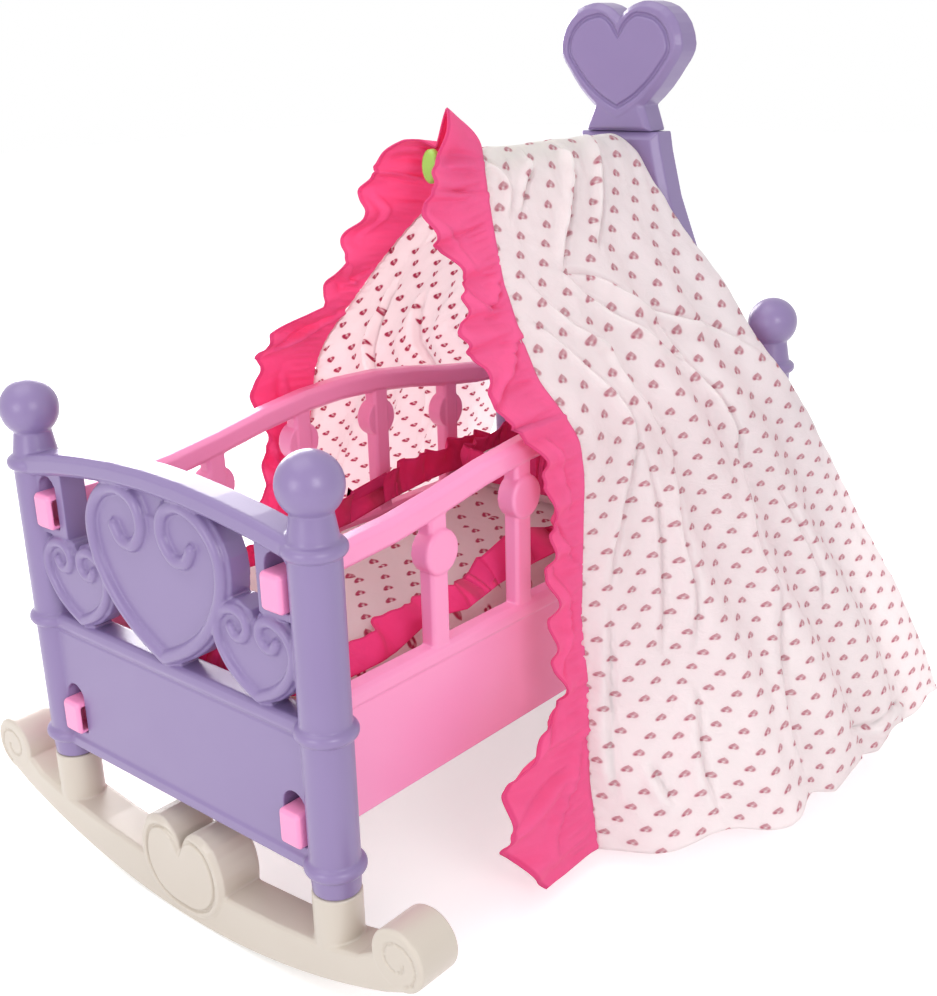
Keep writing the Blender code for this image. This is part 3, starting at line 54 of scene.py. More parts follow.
# The motif stands askew in the rows: its width and its height directions as shares of a
# millimetre along and across the rows.
MOTIF_RIGHT = (0.893, 0.687)
MOTIF_DOWN = (-0.401, 0.974)
MOTIF_HALF_WIDTH = 4.1 * MM
MOTIF_HALF_HEIGHT = 3.9 * MM
# Ink pools at the lobes and leaves a paler bud between them: place, reach and added ink.
MOTIF_INK = 0.74
MOTIF_POOLS = (((-0.55, 0.60), 0.55, 0.42), ((0.62, 0.38), 0.45, 0.24),
               ((-0.35, -0.30), 0.60, 0.12), ((0.12, 0.42), 0.50, -0.62),
               ((0.35, -0.15), 0.45, -0.22))
# A heart is where the distance from its middle, bent by a root of the width, is under one.
HEART_ROOT = 0.65
HEART_BEND = 0.66
HEART_STRETCH = 1.2
HEART_SHIFT = 0.12
HEART_EDGE = (0.84, 1.14)

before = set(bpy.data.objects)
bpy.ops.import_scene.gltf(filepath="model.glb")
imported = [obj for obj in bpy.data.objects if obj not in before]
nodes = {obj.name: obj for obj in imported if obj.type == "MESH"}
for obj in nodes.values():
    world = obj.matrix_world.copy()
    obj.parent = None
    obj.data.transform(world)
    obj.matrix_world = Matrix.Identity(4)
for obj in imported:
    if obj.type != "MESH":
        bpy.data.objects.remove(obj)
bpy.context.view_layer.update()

rocker_low, rocker_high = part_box("rocker_foot")
head_rocker_low, head_rocker_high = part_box("rocker_head")
FOOT_Y = (rocker_low.y + rocker_high.y) / 2
HEAD_Y = (head_rocker_low.y + head_rocker_high.y) / 2
BED_LENGTH = HEAD_Y - FOOT_Y
SKIRT_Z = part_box("footboard")[0].z
POST_X = 125 * MM
CLOTH_REACH_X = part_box("canopy_cloth")[1].x
CLOTH_REAR_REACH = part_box("canopy_cloth")[1].y - HEAD_Y


def linear(code):
    """Turn an sRGB hex colour into linear RGBA."""
    channels = []
    for place in (1, 3, 5):
        value = int(code[place:place + 2], 16) / 255
        channels.append(value / 12.92 if value <= 0.04045 else ((value + 0.055) / 1.055) ** 2.4)
    return (*channels, 1.0)


def add_node(tree, kind, inputs=None, **settings):
    """Add a node, set its properties and fill its sockets with values, sockets or nodes."""
    node = tree.nodes.new(kind)
    for name, value in settings.items():
        setattr(node, name, value)
    for socket, value in (inputs or {}).items():
        if isinstance(value, bpy.types.Node):
            value = next(output for output in value.outputs if output.enabled)
        if isinstance(value, bpy.types.NodeSocket):
            tree.links.new(value, node.inputs[socket])
        else:
            node.inputs[socket].default_value = value
    return node


def new_material(name):
    """Make a material and return it with its node tree and its Principled shader."""
    material = bpy.data.materials.new(name)
    material.use_nodes = True
    tree = material.node_tree
    return material, tree, tree.nodes["Principled BSDF"]


def moulded_polyethylene(name, colour, shade):
    """Blow-moulded polyethylene: waxy satin skin with a faint orange-peel from the mould."""
    material, tree, shader = new_material(name)
    place = add_node(tree, "ShaderNodeTexCoord").outputs["Object"]
    # Pigment swirls about 60 mm wide, hardly darker than the rest.
    swirl = add_node(tree, "ShaderNodeTexNoise", {"Vector": place, "Scale": 1 / (60 * MM),
                                                  "Detail": 2.0})
    tone = add_node(tree, "ShaderNodeMix", {"Factor": swirl, "A": linear(colour),
                                            "B": linear(shade)}, data_type="RGBA")
    tree.links.new(tone.outputs["Result"], shader.inputs["Base Color"])
    # Gloss varies over patches of about 25 mm, as handling and the mould's wall leave it.
    patches = add_node(tree, "ShaderNodeTexNoise", {"Vector": place, "Scale": 1 / (25 * MM),
                                                    "Detail": 3.0})
    gloss = add_node(tree, "ShaderNodeMapRange", {"Value": patches, "From Min": 0.3,
                                                  "From Max": 0.7, "To Min": 0.29,
                                                  "To Max": 0.35})
    tree.links.new(gloss.outputs["Result"], shader.inputs["Roughness"])
    # Orange peel is about 0.8 mm in life; 2.5 mm is the finest that shows here.
    peel = add_node(tree, "ShaderNodeTexNoise", {"Vector": place, "Scale": 1 / (2.5 * MM),
                                                 "Detail": 1.0})
    bump = add_node(tree, "ShaderNodeBump", {"Height": peel, "Strength": 0.06,
                                             "Distance": 0.3 * MM})
    tree.links.new(bump.outputs["Normal"], shader.inputs["Normal"])
    shader.inputs["IOR"].default_value = 1.51
    shader.inputs["Specular IOR Level"].default_value = 0.5
    return material


def weave_height(tree, thread):
    """Height of a plain weave on the flat cloth, at this thread spacing."""
    flat = add_node(tree, "ShaderNodeUVMap", uv_map="flat")
    place = add_node(tree, "ShaderNodeSeparateXYZ", {"Vector": flat})
    waves = []
    for axis in ("X", "Y"):
        angle = add_node(tree, "ShaderNodeMath", {0: place.outputs[axis], 1: math.tau / thread},
                         operation="MULTIPLY")
        waves.append(add_node(tree, "ShaderNodeMath", {0: angle}, operation="SINE"))
    return add_node(tree, "ShaderNodeMath", {0: waves[0], 1: waves[1]}, operation="MULTIPLY")


def crumple_height(tree, width):
    """Height of the small creases of washed cotton, this far apart on the flat cloth."""
    flat = add_node(tree, "ShaderNodeUVMap", uv_map="flat")
    return add_node(tree, "ShaderNodeTexNoise", {"Vector": flat, "Scale": 1 / width,
                                                 "Detail": 4.0, "Roughness": 0.55,
                                                 "Distortion": 0.6})


def cotton_bump(tree, shader, thread, crumple, strength):
    """Join weave and creases into the shader's normal."""
    creases = add_node(tree, "ShaderNodeBump", {"Height": crumple_height(tree, crumple),
                                                "Strength": strength, "Distance": 2.0 * MM})
    weave = add_node(tree, "ShaderNodeBump", {"Height": weave_height(tree, thread),
                                              "Normal": creases, "Strength": 0.25,
                                              "Distance": 0.2 * MM})
    tree.links.new(weave.outputs["Normal"], shader.inputs["Normal"])
    return weave


def let_light_through(tree, shader, colour, normal, share):
    """Let a share of the light come through the thin cloth from its other side."""
    through = add_node(tree, "ShaderNodeBsdfTranslucent", {"Color": colour, "Normal": normal})
    both = add_node(tree, "ShaderNodeMixShader", {0: share, 1: shader, 2: through})
    surface = tree.nodes["Material Output"].inputs["Surface"]
    tree.links.new(both.outputs["Shader"], surface)


def printed_cotton(name, ground, motif, strength):
    """Thin plain-weave cotton with a small scattered heart print in rose ink."""
    material, tree, shader = new_material(name)
    flat = add_node(tree, "ShaderNodeUVMap", uv_map="flat")
    # The print runs a little askew to the thread.
    cosine = math.cos(PRINT_TURN)
    sine = math.sin(PRINT_TURN)
    along, row = (add_node(tree, "ShaderNodeVectorMath", {0: flat, 1: direction},
                           operation="DOT_PRODUCT")
                  for direction in ((cosine / PRINT_PITCH, -sine / PRINT_PITCH, 0),
                                    (sine / PRINT_ROW_PITCH, cosine / PRINT_ROW_PITCH, 0)))
    row_index = add_node(tree, "ShaderNodeMath", {0: row}, operation="FLOOR")
    column = add_node(tree, "ShaderNodeMath", {0: row_index, 1: 0.5, 2: along},
                      operation="MULTIPLY_ADD")
    place = add_node(tree, "ShaderNodeCombineXYZ", {"X": column, "Y": row})
    cell = add_node(tree, "ShaderNodeVectorMath", {0: place}, operation="FRACTION")
    middle = add_node(tree, "ShaderNodeVectorMath", {0: cell, 1: (0.5, 0.5, 0)},
                      operation="SUBTRACT")
    axes = []
    for direction, half_size in ((MOTIF_RIGHT, MOTIF_HALF_WIDTH),
                                 (MOTIF_DOWN, MOTIF_HALF_HEIGHT)):
        scale = (direction[0] * PRINT_PITCH / half_size,
                 direction[1] * PRINT_ROW_PITCH / half_size, 0)
        axes.append(add_node(tree, "ShaderNodeVectorMath", {0: middle, 1: scale},
                             operation="DOT_PRODUCT"))
    spot = add_node(tree, "ShaderNodeCombineXYZ", {"X": axes[0], "Y": axes[1]})
    side = add_node(tree, "ShaderNodeMath", {0: axes[0]}, operation="ABSOLUTE")
    bend = add_node(tree, "ShaderNodeMath", {0: side, 1: HEART_ROOT}, operation="POWER")
    height = add_node(tree, "ShaderNodeMath", {0: axes[1], 1: HEART_STRETCH, 2: HEART_SHIFT},
                      operation="MULTIPLY_ADD")
    lifted = add_node(tree, "ShaderNodeMath", {0: bend, 1: -HEART_BEND, 2: height},
                      operation="MULTIPLY_ADD")
    bent = add_node(tree, "ShaderNodeCombineXYZ", {"X": axes[0], "Y": lifted})
    reach = add_node(tree, "ShaderNodeVectorMath", {0: bent}, operation="LENGTH")
    heart = add_node(tree, "ShaderNodeMapRange", {"Value": reach, "From Min": HEART_EDGE[0],
                                                  "From Max": HEART_EDGE[1], "To Min": 1.0,
                                                  "To Max": 0.0})
    ink = MOTIF_INK
    for centre, size, added in MOTIF_POOLS:
        away = add_node(tree, "ShaderNodeVectorMath", {0: spot, 1: (*centre, 0)},
                        operation="DISTANCE")
        pool = add_node(tree, "ShaderNodeMapRange", {"Value": away, "From Max": size,
                                                     "To Min": added, "To Max": 0.0},
                        interpolation_type="SMOOTHSTEP")
        ink = add_node(tree, "ShaderNodeMath", {0: pool, 1: ink}, operation="ADD")
    # Ink soaks unevenly into the threads.
    soak = add_node(tree, "ShaderNodeTexNoise", {"Vector": flat, "Scale": 1 / (1.6 * MM),
                                                 "Detail": 1.0})
    uneven = add_node(tree, "ShaderNodeMapRange", {"Value": soak, "To Min": 0.75 * strength,
                                                   "To Max": 1.20 * strength})
    cover = add_node(tree, "ShaderNodeMath", {0: ink, 1: uneven}, operation="MULTIPLY")
    inked = add_node(tree, "ShaderNodeMath", {0: cover, 1: heart}, operation="MULTIPLY",
                     use_clamp=True)
    colour = add_node(tree, "ShaderNodeMix", {"Factor": inked, "A": linear(ground),
                                              "B": linear(motif)}, data_type="RGBA")
    tree.links.new(colour.outputs["Result"], shader.inputs["Base Color"])
    shader.inputs["Roughness"].default_value = 0.88
    shader.inputs["Specular IOR Level"].default_value = 0.25
    shader.inputs["Sheen Weight"].default_value = 0.12
    shader.inputs["Sheen Roughness"].default_value = 0.5
    # Threads are 0.35 mm apart in life; 1.1 mm is the finest that shows.
    normal = cotton_bump(tree, shader, 1.1 * MM, 20 * MM, 0.45)
    let_light_through(tree, shader, colour, normal, 0.54)
    return material


def dyed_cotton(name, colour, shade, hem_colour):
    """Bright dyed plain-weave cotton with a soft sheen, pressed creases and a stitched hem."""
    material, tree, shader = new_material(name)
    flat = add_node(tree, "ShaderNodeUVMap", uv_map="flat")
    # The dye is a little uneven over patches of about 30 mm.
    patches = add_node(tree, "ShaderNodeTexNoise", {"Vector": flat, "Scale": 1 / (30 * MM),
                                                    "Detail": 3.0})
    tone = add_node(tree, "ShaderNodeMix", {"Factor": patches, "A": linear(colour),
                                            "B": linear(shade)}, data_type="RGBA")
    # The doubled hem looks deeper in colour, because less light comes through it.
    strip = add_node(tree, "ShaderNodeUVMap", uv_map="strip")
    reach = add_node(tree, "ShaderNodeSeparateXYZ", {"Vector": strip}).outputs["Y"]
    hem = add_node(tree, "ShaderNodeMapRange", {"Value": reach, "From Min": 0.93,
                                                "From Max": 0.96, "To Max": 0.55})
    edged = add_node(tree, "ShaderNodeMix", {"Factor": hem, "A": tone,
                                             "B": linear(hem_colour)}, data_type="RGBA")
    tree.links.new(edged.outputs["Result"], shader.inputs["Base Color"])
    shader.inputs["Roughness"].default_value = 0.72
    shader.inputs["Specular IOR Level"].default_value = 0.3
    shader.inputs["Sheen Weight"].default_value = 0.08
    shader.inputs["Sheen Roughness"].default_value = 0.4
    normal = cotton_bump(tree, shader, 1.0 * MM, 13 * MM, 0.5)
    let_light_through(tree, shader, edged, normal, 0.30)
    return material


def pressed_fibreboard(name):
    """Pressed fibreboard: pale, matt, flecked with short fibres."""
    material, tree, shader = new_material(name)
    place = add_node(tree, "ShaderNodeTexCoord").outputs["Object"]
    fibres = add_node(tree, "ShaderNodeTexNoise", {"Vector": place, "Scale": 1 / (3 * MM),
                                                   "Detail": 5.0, "Distortion": 1.5})
    tone = add_node(tree, "ShaderNodeMix", {"Factor": fibres, "A": linear("#F0EAE0"),
                                            "B": linear("#D8CFC0")}, data_type="RGBA")
    tree.links.new(tone.outputs["Result"], shader.inputs["Base Color"])
    shader.inputs["Roughness"].default_value = 0.8
    bump = add_node(tree, "ShaderNodeBump", {"Height": fibres, "Strength": 0.2,
                                             "Distance": 0.2 * MM})
    tree.links.new(bump.outputs["Normal"], shader.inputs["Normal"])
    return material


LILAC_PLASTIC = moulded_polyethylene("lilac_moulded_polyethylene", "#8F7DAA", "#8A77A5")
PINK_PLASTIC = moulded_polyethylene("pink_moulded_polyethylene", "#FF9ECB", "#FE98C7")
CREAM_PLASTIC = moulded_polyethylene("cream_moulded_polyethylene", "#D2C8BD", "#CBC0B3")
LIME_PLASTIC = moulded_polyethylene("lime_moulded_polyethylene", "#A9D15E", "#A1CA55")
BASE_BOARD = pressed_fibreboard("pressed_fibreboard")
PRINT_FACE = printed_cotton("heart_print_cotton_face", "#F9E9EA", "#B8385C", 1.25)
PRINT_BACK = printed_cotton("heart_print_cotton_back", "#FFFFFF", "#CC6C86", 0.8)
HOT_PINK_CLOTH = dyed_cotton("hot_pink_dyed_cotton", "#FF74AE", "#FE68A5", "#E63B80")
# The bedding's bands get a darker, deeper copy of the hot pink cloth: painted shade for where
# they lie inside the cradle.
SHADED_HOT_PINK_CLOTH = dyed_cotton("hot_pink_cotton_painted_shade", "#FC4A90", "#F54088", "#DC2A6C")


def link(name, data):
    """Put a mesh, a lamp or a camera in the scene as a new object."""
    piece = bpy.data.objects.new(name, data)
    bpy.context.scene.collection.objects.link(piece)
    return piece


def bake_modifiers(piece):
    """Put what the modifiers give into the mesh and take them off."""
    graph = bpy.context.evaluated_depsgraph_get()
    graph.update()
    mesh = bpy.data.meshes.new_from_object(piece.evaluated_get(graph))
    piece.modifiers.clear()
    piece.data = mesh
    return mesh


def joined_copy(node):
    """Copy of a solid's mesh, and a work mesh of it with its doubled points joined."""
    mesh = nodes[node].data.copy()
    work = bmesh.new()
    work.from_mesh(mesh)
    bmesh.ops.remove_doubles(work, verts=work.verts, dist=0.01 * MM)
    return mesh, work


def even_skin(piece, voxel):
    """Let a skin of even squares of this size take the place of the facets."""
    skin = piece.modifiers.new("even skin", "REMESH")
    skin.mode = "VOXEL"
    skin.voxel_size = voxel
    return skin


def hand_over(piece, node, material, body):
    """Give a stand-in its material and let it take the place of a solid in the model."""
    piece.data.materials.clear()
    piece.data.materials.append(material)
    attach(piece, body)
    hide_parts(node)
    return piece


def ring_of_points(centre, axis, radius, along, segments):
    """Points of a circle round an axis (0, 1 or 2), this far along it."""
    points = []
    for step in range(segments):
        angle = math.tau * step / segments
        point = [0.0, 0.0, 0.0]
        point[axis] = along
        point[(axis + 1) % 3] = radius * math.cos(angle)
        point[(axis + 2) % 3] = radius * math.sin(angle)
        points.append([centre[index] + point[index] for index in range(3)])
    return points


def add_rings(work, rings):
    """Close a stack of rings into a body in the work mesh."""
    rows = [[work.verts.new(point) for point in ring] for ring in rings]
    for first, second in zip(rows, rows[1:]):
        for index in range(len(first)):
            after = (index + 1) % len(first)
            work.faces.new((first[index], first[after], second[after], second[index]))
    work.faces.new(list(reversed(rows[0])))
    work.faces.new(rows[-1])


def add_turned(work, centre, axis, profile, segments=72):
    """Add a turned body with a profile of (radius, place along the axis)."""
    add_rings(work, [ring_of_points(centre, axis, radius, along, segments)
                     for radius, along in profile])


def smooth_path(points, steps):
    """Run a smooth curve through the points, with so many steps between two of them."""
    points = [np.array(point, float) for point in points]
    padded = [2 * points[0] - points[1]] + points + [2 * points[-1] - points[-2]]
    path = []
    for index in range(len(points) - 1):
        p0, p1, p2, p3 = padded[index:index + 4]
        for t in np.arange(steps) / steps:
            path.append(0.5 * (2 * p1 + (p2 - p0) * t + (2 * p0 - 5 * p1 + 4 * p2 - p3) * t ** 2
                               + (3 * p1 - p0 - 3 * p2 + p3) * t ** 3))
    path.append(points[-1])
    return np.array(path)


def add_rib(work, path, radius, depth, sides=18):
    """Add a round rib with domed ends along a path in the upright plane at this y."""
    tangents = np.gradient(path, axis=0)
    tangents /= np.linalg.norm(tangents, axis=1, keepdims=True)
    dome = [math.radians(angle) for angle in (80, 60, 40, 20)]
    stops = [(path[0] - tangents[0] * radius * math.sin(angle), tangents[0], math.cos(angle))
             for angle in dome]
    stops += [(point, tangent, 1.0) for point, tangent in zip(path, tangents)]
    stops += [(path[-1] + tangents[-1] * radius * math.sin(angle), tangents[-1], math.cos(angle))
              for angle in reversed(dome)]
    rings = []
    for point, tangent, size in stops:
        ring = []
        for step in range(sides):
            angle = math.tau * step / sides
            aside = radius * size * math.cos(angle)
            ring.append((point[0] - tangent[1] * aside, depth + radius * size * math.sin(angle),
                         point[1] + tangent[0] * aside))
        rings.append(ring)
    add_rings(work, rings)


# Round forms of the mouldings, in mm, as the model has them but with many more facets.
POST_RADIUS = 13.75 * MM
COLLAR_RADIUS = 18.0 * MM
COLLAR_HALF_HEIGHT = 4.3 * MM
COLLAR_HEIGHTS = (15.7 * MM, 99.05 * MM, 202.9 * MM)
NECK_BOTTOM = (13.85 * MM, 207.5 * MM)
NECK_TOP_RADIUS = 11.4 * MM
BALL_RADIUS = 18.0 * MM
BALL_Z = 236.2 * MM
SCROLL_SHARES = ((0.60, 0.76), (0.50, 0.68), (0.34, 0.665), (0.21, 0.73), (0.155, 0.83),
                 (0.23, 0.945), (0.46, 1.0), (0.74, 0.955), (0.94, 0.83), (1.0, 0.68),
                 (0.93, 0.49), (0.72, 0.29), (0.41, 0.13), (0.0, 0.0))
HEART_FACE = 8.0 * MM
# Each scroll: middle and half width as shares of half the post spacing, lowest and highest
# point above the board's lower edge, rib radius.
SCROLLS = ((0.0, 0.472, 107.0 * MM, 206.0 * MM, 4.4 * MM),
           (0.656, 0.248, 108.0 * MM, 156.5 * MM, 3.5 * MM),
           (-0.656, 0.248, 108.0 * MM, 156.5 * MM, 3.5 * MM))
LEG_RADIUS = 14.5 * MM
LEG_ENDS = (30.0 * MM, 71.1 * MM)
ROCKER_SCROLL_X = 183.0 * MM
ROCKER_SCROLL_Z = 58.7 * MM
ROCKER_SCROLL_RADIUS = 19.0 * MM
ROCKER_RIM_RADIUS = 17.2 * MM
ROCKER_HALF_DEPTH = 14.5 * MM
ROCKER_FIELD_HALF_DEPTH = 12.6 * MM
MEDALLION_RADIUS = 14.25 * MM
MEDALLION_OUTER_X = 108.5 * MM
MEDALLION_INNER_X = 96.0 * MM
# Medallions: place along the bed as a share of its length, and height above the boards' edge.
MEDALLION_PLACES = ((0.2456, 159.4 * MM), (0.4152, 171.5 * MM), (0.5848, 171.5 * MM),
                    (0.7544, 159.4 * MM))


def post_profile():
    """Profile of an end post with its rounded collars, neck and ball."""
    profile = [(POST_RADIUS, 0.2 * MM)]
    for height in COLLAR_HEIGHTS:
        for angle in range(-80, 81, 20):
            turn = math.radians(angle)
            profile.append((POST_RADIUS + (COLLAR_RADIUS - POST_RADIUS) * math.cos(turn),
                            height + COLLAR_HALF_HEIGHT * math.sin(turn)))
    profile.append(NECK_BOTTOM)
    low = -math.acos(NECK_TOP_RADIUS / BALL_RADIUS)
    for share in np.linspace(0, 0.995, 28):
        angle = low + (math.pi / 2 - low) * share
        profile.append((BALL_RADIUS * math.cos(angle), BALL_Z + BALL_RADIUS * math.sin(angle)))
    return profile


def add_board_rounds(work, board_y, outward):
    """Posts and scrolls of an end board."""
    for side in (-1, 1):
        add_turned(work, (side * POST_X, board_y, SKIRT_Z), 2, post_profile())
    for middle, half_width, tip_z, top_z, radius in SCROLLS:
        half = smooth_path([(x * half_width, z) for x, z in SCROLL_SHARES], 12)
        half[:, 1] = tip_z + half[:, 1] * (top_z - tip_z)
        left = np.column_stack((middle - half[:, 0], half[:, 1]))
        right = np.column_stack((middle + half[:-1, 0], half[:-1, 1]))[::-1]
        path = np.concatenate((left, right))
        path[:, 0] *= POST_X
        path[:, 1] += SKIRT_Z
        add_rib(work, path, radius, board_y + outward * HEART_FACE)


def add_rocker_rounds(work, board_y):
    """Legs and scroll ends of a rocker. The field of a scroll stays below its groove."""
    rim = ROCKER_HALF_DEPTH
    field = ROCKER_FIELD_HALF_DEPTH
    profile = [(1 * MM, -field), (ROCKER_RIM_RADIUS, -field), (ROCKER_RIM_RADIUS, 1 * MM - rim),
               (ROCKER_RIM_RADIUS, -rim), (ROCKER_SCROLL_RADIUS - 1 * MM, -rim),
               (ROCKER_SCROLL_RADIUS, 1 * MM - rim)]
    profile += [(radius, -along) for radius, along in reversed(profile)]
    for side in (-1, 1):
        add_turned(work, (side * POST_X, board_y, 0), 2,
                   [(LEG_RADIUS, LEG_ENDS[0]), (LEG_RADIUS, LEG_ENDS[1])])
        add_turned(work, (side * ROCKER_SCROLL_X, board_y, ROCKER_SCROLL_Z), 1, profile)


def add_medallions(work, side):
    """Round medallions on the balusters of a side panel."""
    for share, height in MEDALLION_PLACES:
        place = (0, FOOT_Y + share * BED_LENGTH, SKIRT_Z + height)
        profile = [(MEDALLION_RADIUS - 1.5 * MM, MEDALLION_INNER_X),
                   (MEDALLION_RADIUS, MEDALLION_INNER_X + 1.5 * MM),
                   (MEDALLION_RADIUS, MEDALLION_OUTER_X - 2.0 * MM),
                   (MEDALLION_RADIUS - 0.6 * MM, MEDALLION_OUTER_X - 0.7 * MM),
                   (MEDALLION_RADIUS - 2.2 * MM, MEDALLION_OUTER_X)]
        add_turned(work, place, 0, [(radius, side * along) for radius, along in profile])


def moulded_copy(node, material, voxel, rounds, add_rounds=None):
    """Stand-in for a rigid node with a moulding's even skin and soft edges."""
    mesh, work = joined_copy(node)
    if add_rounds:
        add_rounds(work)
    bmesh.ops.recalc_face_normals(work, faces=work.faces)
    work.to_mesh(mesh)
    work.free()
    shape = link(node + "_shape", mesh)
    piece = link(node + "_moulding", mesh.copy())
    even_skin(piece, voxel * (1)).use_smooth_shade = True
    # The skin's points go back onto the shape, so that flat walls stay flat.
    walls = piece.modifiers.new("true walls", "SHRINKWRAP")
    walls.target = shape
    walls.wrap_method = "NEAREST_SURFACEPOINT"
    edges = piece.modifiers.new("soft edges", "SMOOTH")
    edges.factor = 0.5
    edges.iterations = rounds
    bake_modifiers(piece)
    bpy.data.objects.remove(shape)
    return hand_over(piece, node, material, "cradle")


moulded_copy("footboard", LILAC_PLASTIC, 0.8 * MM, 5,
             lambda work: add_board_rounds(work, FOOT_Y, -1))
moulded_copy("headboard", LILAC_PLASTIC, 0.8 * MM, 5,
             lambda work: add_board_rounds(work, HEAD_Y, 1))
for node in ("canopy_mast", "mast_heart_head"):
    moulded_copy(node, LILAC_PLASTIC, 0.8 * MM, 6)
for node, side in (("side_panel_right", 1), ("side_panel_left", -1)):
    moulded_copy(node, PINK_PLASTIC, 0.8 * MM, 6,
                 lambda work, side=side: add_medallions(work, side))
for node, board_y in (("rocker_foot", FOOT_Y), ("rocker_head", HEAD_Y)):
    moulded_copy(node, CREAM_PLASTIC, 0.8 * MM, 5,
                 lambda work, board_y=board_y: add_rocker_rounds(work, board_y))
moulded_copy("canopy_arm", LIME_PLASTIC, 0.7 * MM, 3)
nodes["bed_base"].data.materials.clear()
nodes["bed_base"].data.materials.append(BASE_BOARD)

# Canopy. Stations from the ridge to the hem: height as a share of the ridge's, front spread,
# front y, rear spread and rear y, both as shares of the canopy's depth from the headboard.
# A spread of 1 is at the posts and 2 at the cloth's full reach.
CANOPY_RIDGE_Z = 372.5 * MM
CANOPY_DEPTH = 280 * MM
CLOTH_REAR_SHARE = CLOTH_REAR_REACH / CANOPY_DEPTH
DRAPE_SHARES = (
    (1.000, 0.000, -0.671, 0.000, -0.125), (0.993, 0.048, -0.696, 0.096, -0.121),
    (0.956, 0.096, -0.711, 0.208, -0.118), (0.894, 0.216, -0.757, 0.328, -0.114),
    (0.792, 0.440, -0.839, 0.592, -0.114), (0.703, 0.624, -0.875, 0.848, -0.114),
    (0.642, 0.760, -0.896, 0.968, -0.114), (0.591, 0.880, -0.879, 1.093, -0.107),
    (0.545, 0.960, -0.861, 1.186, -0.082), (0.483, 0.992, -0.861, 1.250, -0.036),
    (0.376, 1.043, -0.900, 1.371, 0.014), (0.255, 1.093, -0.939, 1.507, 0.050),
    (0.121, 1.164, -0.954, 1.707, 0.093), (0.000, 1.229, -1.000, 1.871, 0.118),
    (-0.115, 1.293, -1.000, 1.979, CLOTH_REAR_SHARE))
FAR_REAR_SHARES = (
    (1.186, -0.061), (1.230, 0.070), (1.286, CLOTH_REAR_SHARE), (1.393, CLOTH_REAR_SHARE),
    (1.600, CLOTH_REAR_SHARE), (1.871, CLOTH_REAR_SHARE), (1.979, CLOTH_REAR_SHARE))
HEM_BELLY_START_Z = 190 * MM
HEM_BELLY_POWER = 7.0
HEM_BULGE = 4 * MM
HEM_FRONT_DROP = 16 * MM
FOLD_COUNT = 4.5
FOLD_RIDGE = 1.5 * MM
FOLD_HEM = 6.0 * MM
HEM_SCALLOP = 4.0 * MM
HEM_SCALLOP_COUNT = 5
SHEET_ROWS = 280
SHEET_COLUMNS = 210
SHEET_SPREAD = 1.15
# The corners between the stations are rounded off in so many rounds.
SHEET_ROUNDS = 60


def canopy_stations(side):
    """The canopy's stations in metres on one side (1 near, -1 far), and the travel to each."""
    stations = np.array(DRAPE_SHARES)
    if side < 0:
        stations[-len(FAR_REAR_SHARES):, 3:] = FAR_REAR_SHARES
    stations[:, 0] *= CANOPY_RIDGE_Z
    stations[:, (2, 4)] *= CANOPY_DEPTH
    for column in (1, 3):
        spread = stations[:, column]
        stations[:, column] = (POST_X * np.minimum(spread, 1)
                               + (CLOTH_REACH_X - POST_X) * np.maximum(spread - 1, 0))
    steps = np.linalg.norm(np.diff(stations[:, (0, 1)], axis=0), axis=1)
    travel = np.concatenate(([0], np.cumsum(steps)))
    return stations, travel / travel[-1]


def drape(side, share, across):
    """Points of the hanging cloth: share runs from ridge to hem, across from front to rear."""
    stations, travel = canopy_stations(side)
    height, front_x, front_y, rear_x, rear_y = (np.interp(share, travel, stations[:, column])
                                                for column in range(5))
    belly = np.clip((HEM_BELLY_START_Z - height) / (HEM_BELLY_START_Z - stations[-1, 0]), 0, 1)
    blend = 1 - (1 - across) ** (1 + (HEM_BELLY_POWER - 1) * belly)
    fold = FOLD_RIDGE + (FOLD_HEM - FOLD_RIDGE) * share
    arch = np.sin(np.pi * across)
    swing = fold * np.maximum(arch, 0) ** 0.5 * np.sin(math.tau * FOLD_COUNT * across)
    x = front_x + (rear_x - front_x) * blend + HEM_BULGE * belly * arch
    x += swing * np.minimum(1, 3 * share)
    y = BED_LENGTH + front_y + (rear_y - front_y) * across
    scallop = HEM_SCALLOP * belly ** 3 * np.sin(math.tau * HEM_SCALLOP_COUNT * across)
    drop = HEM_FRONT_DROP * belly ** 2 * (1 - across) ** HEM_BELLY_POWER
    x = np.clip(x, 0, CLOTH_REACH_X - CLOTH_THICKNESS)
    return np.stack((side * x, FOOT_Y + y, SKIRT_Z + height - drop - scallop), axis=-1)
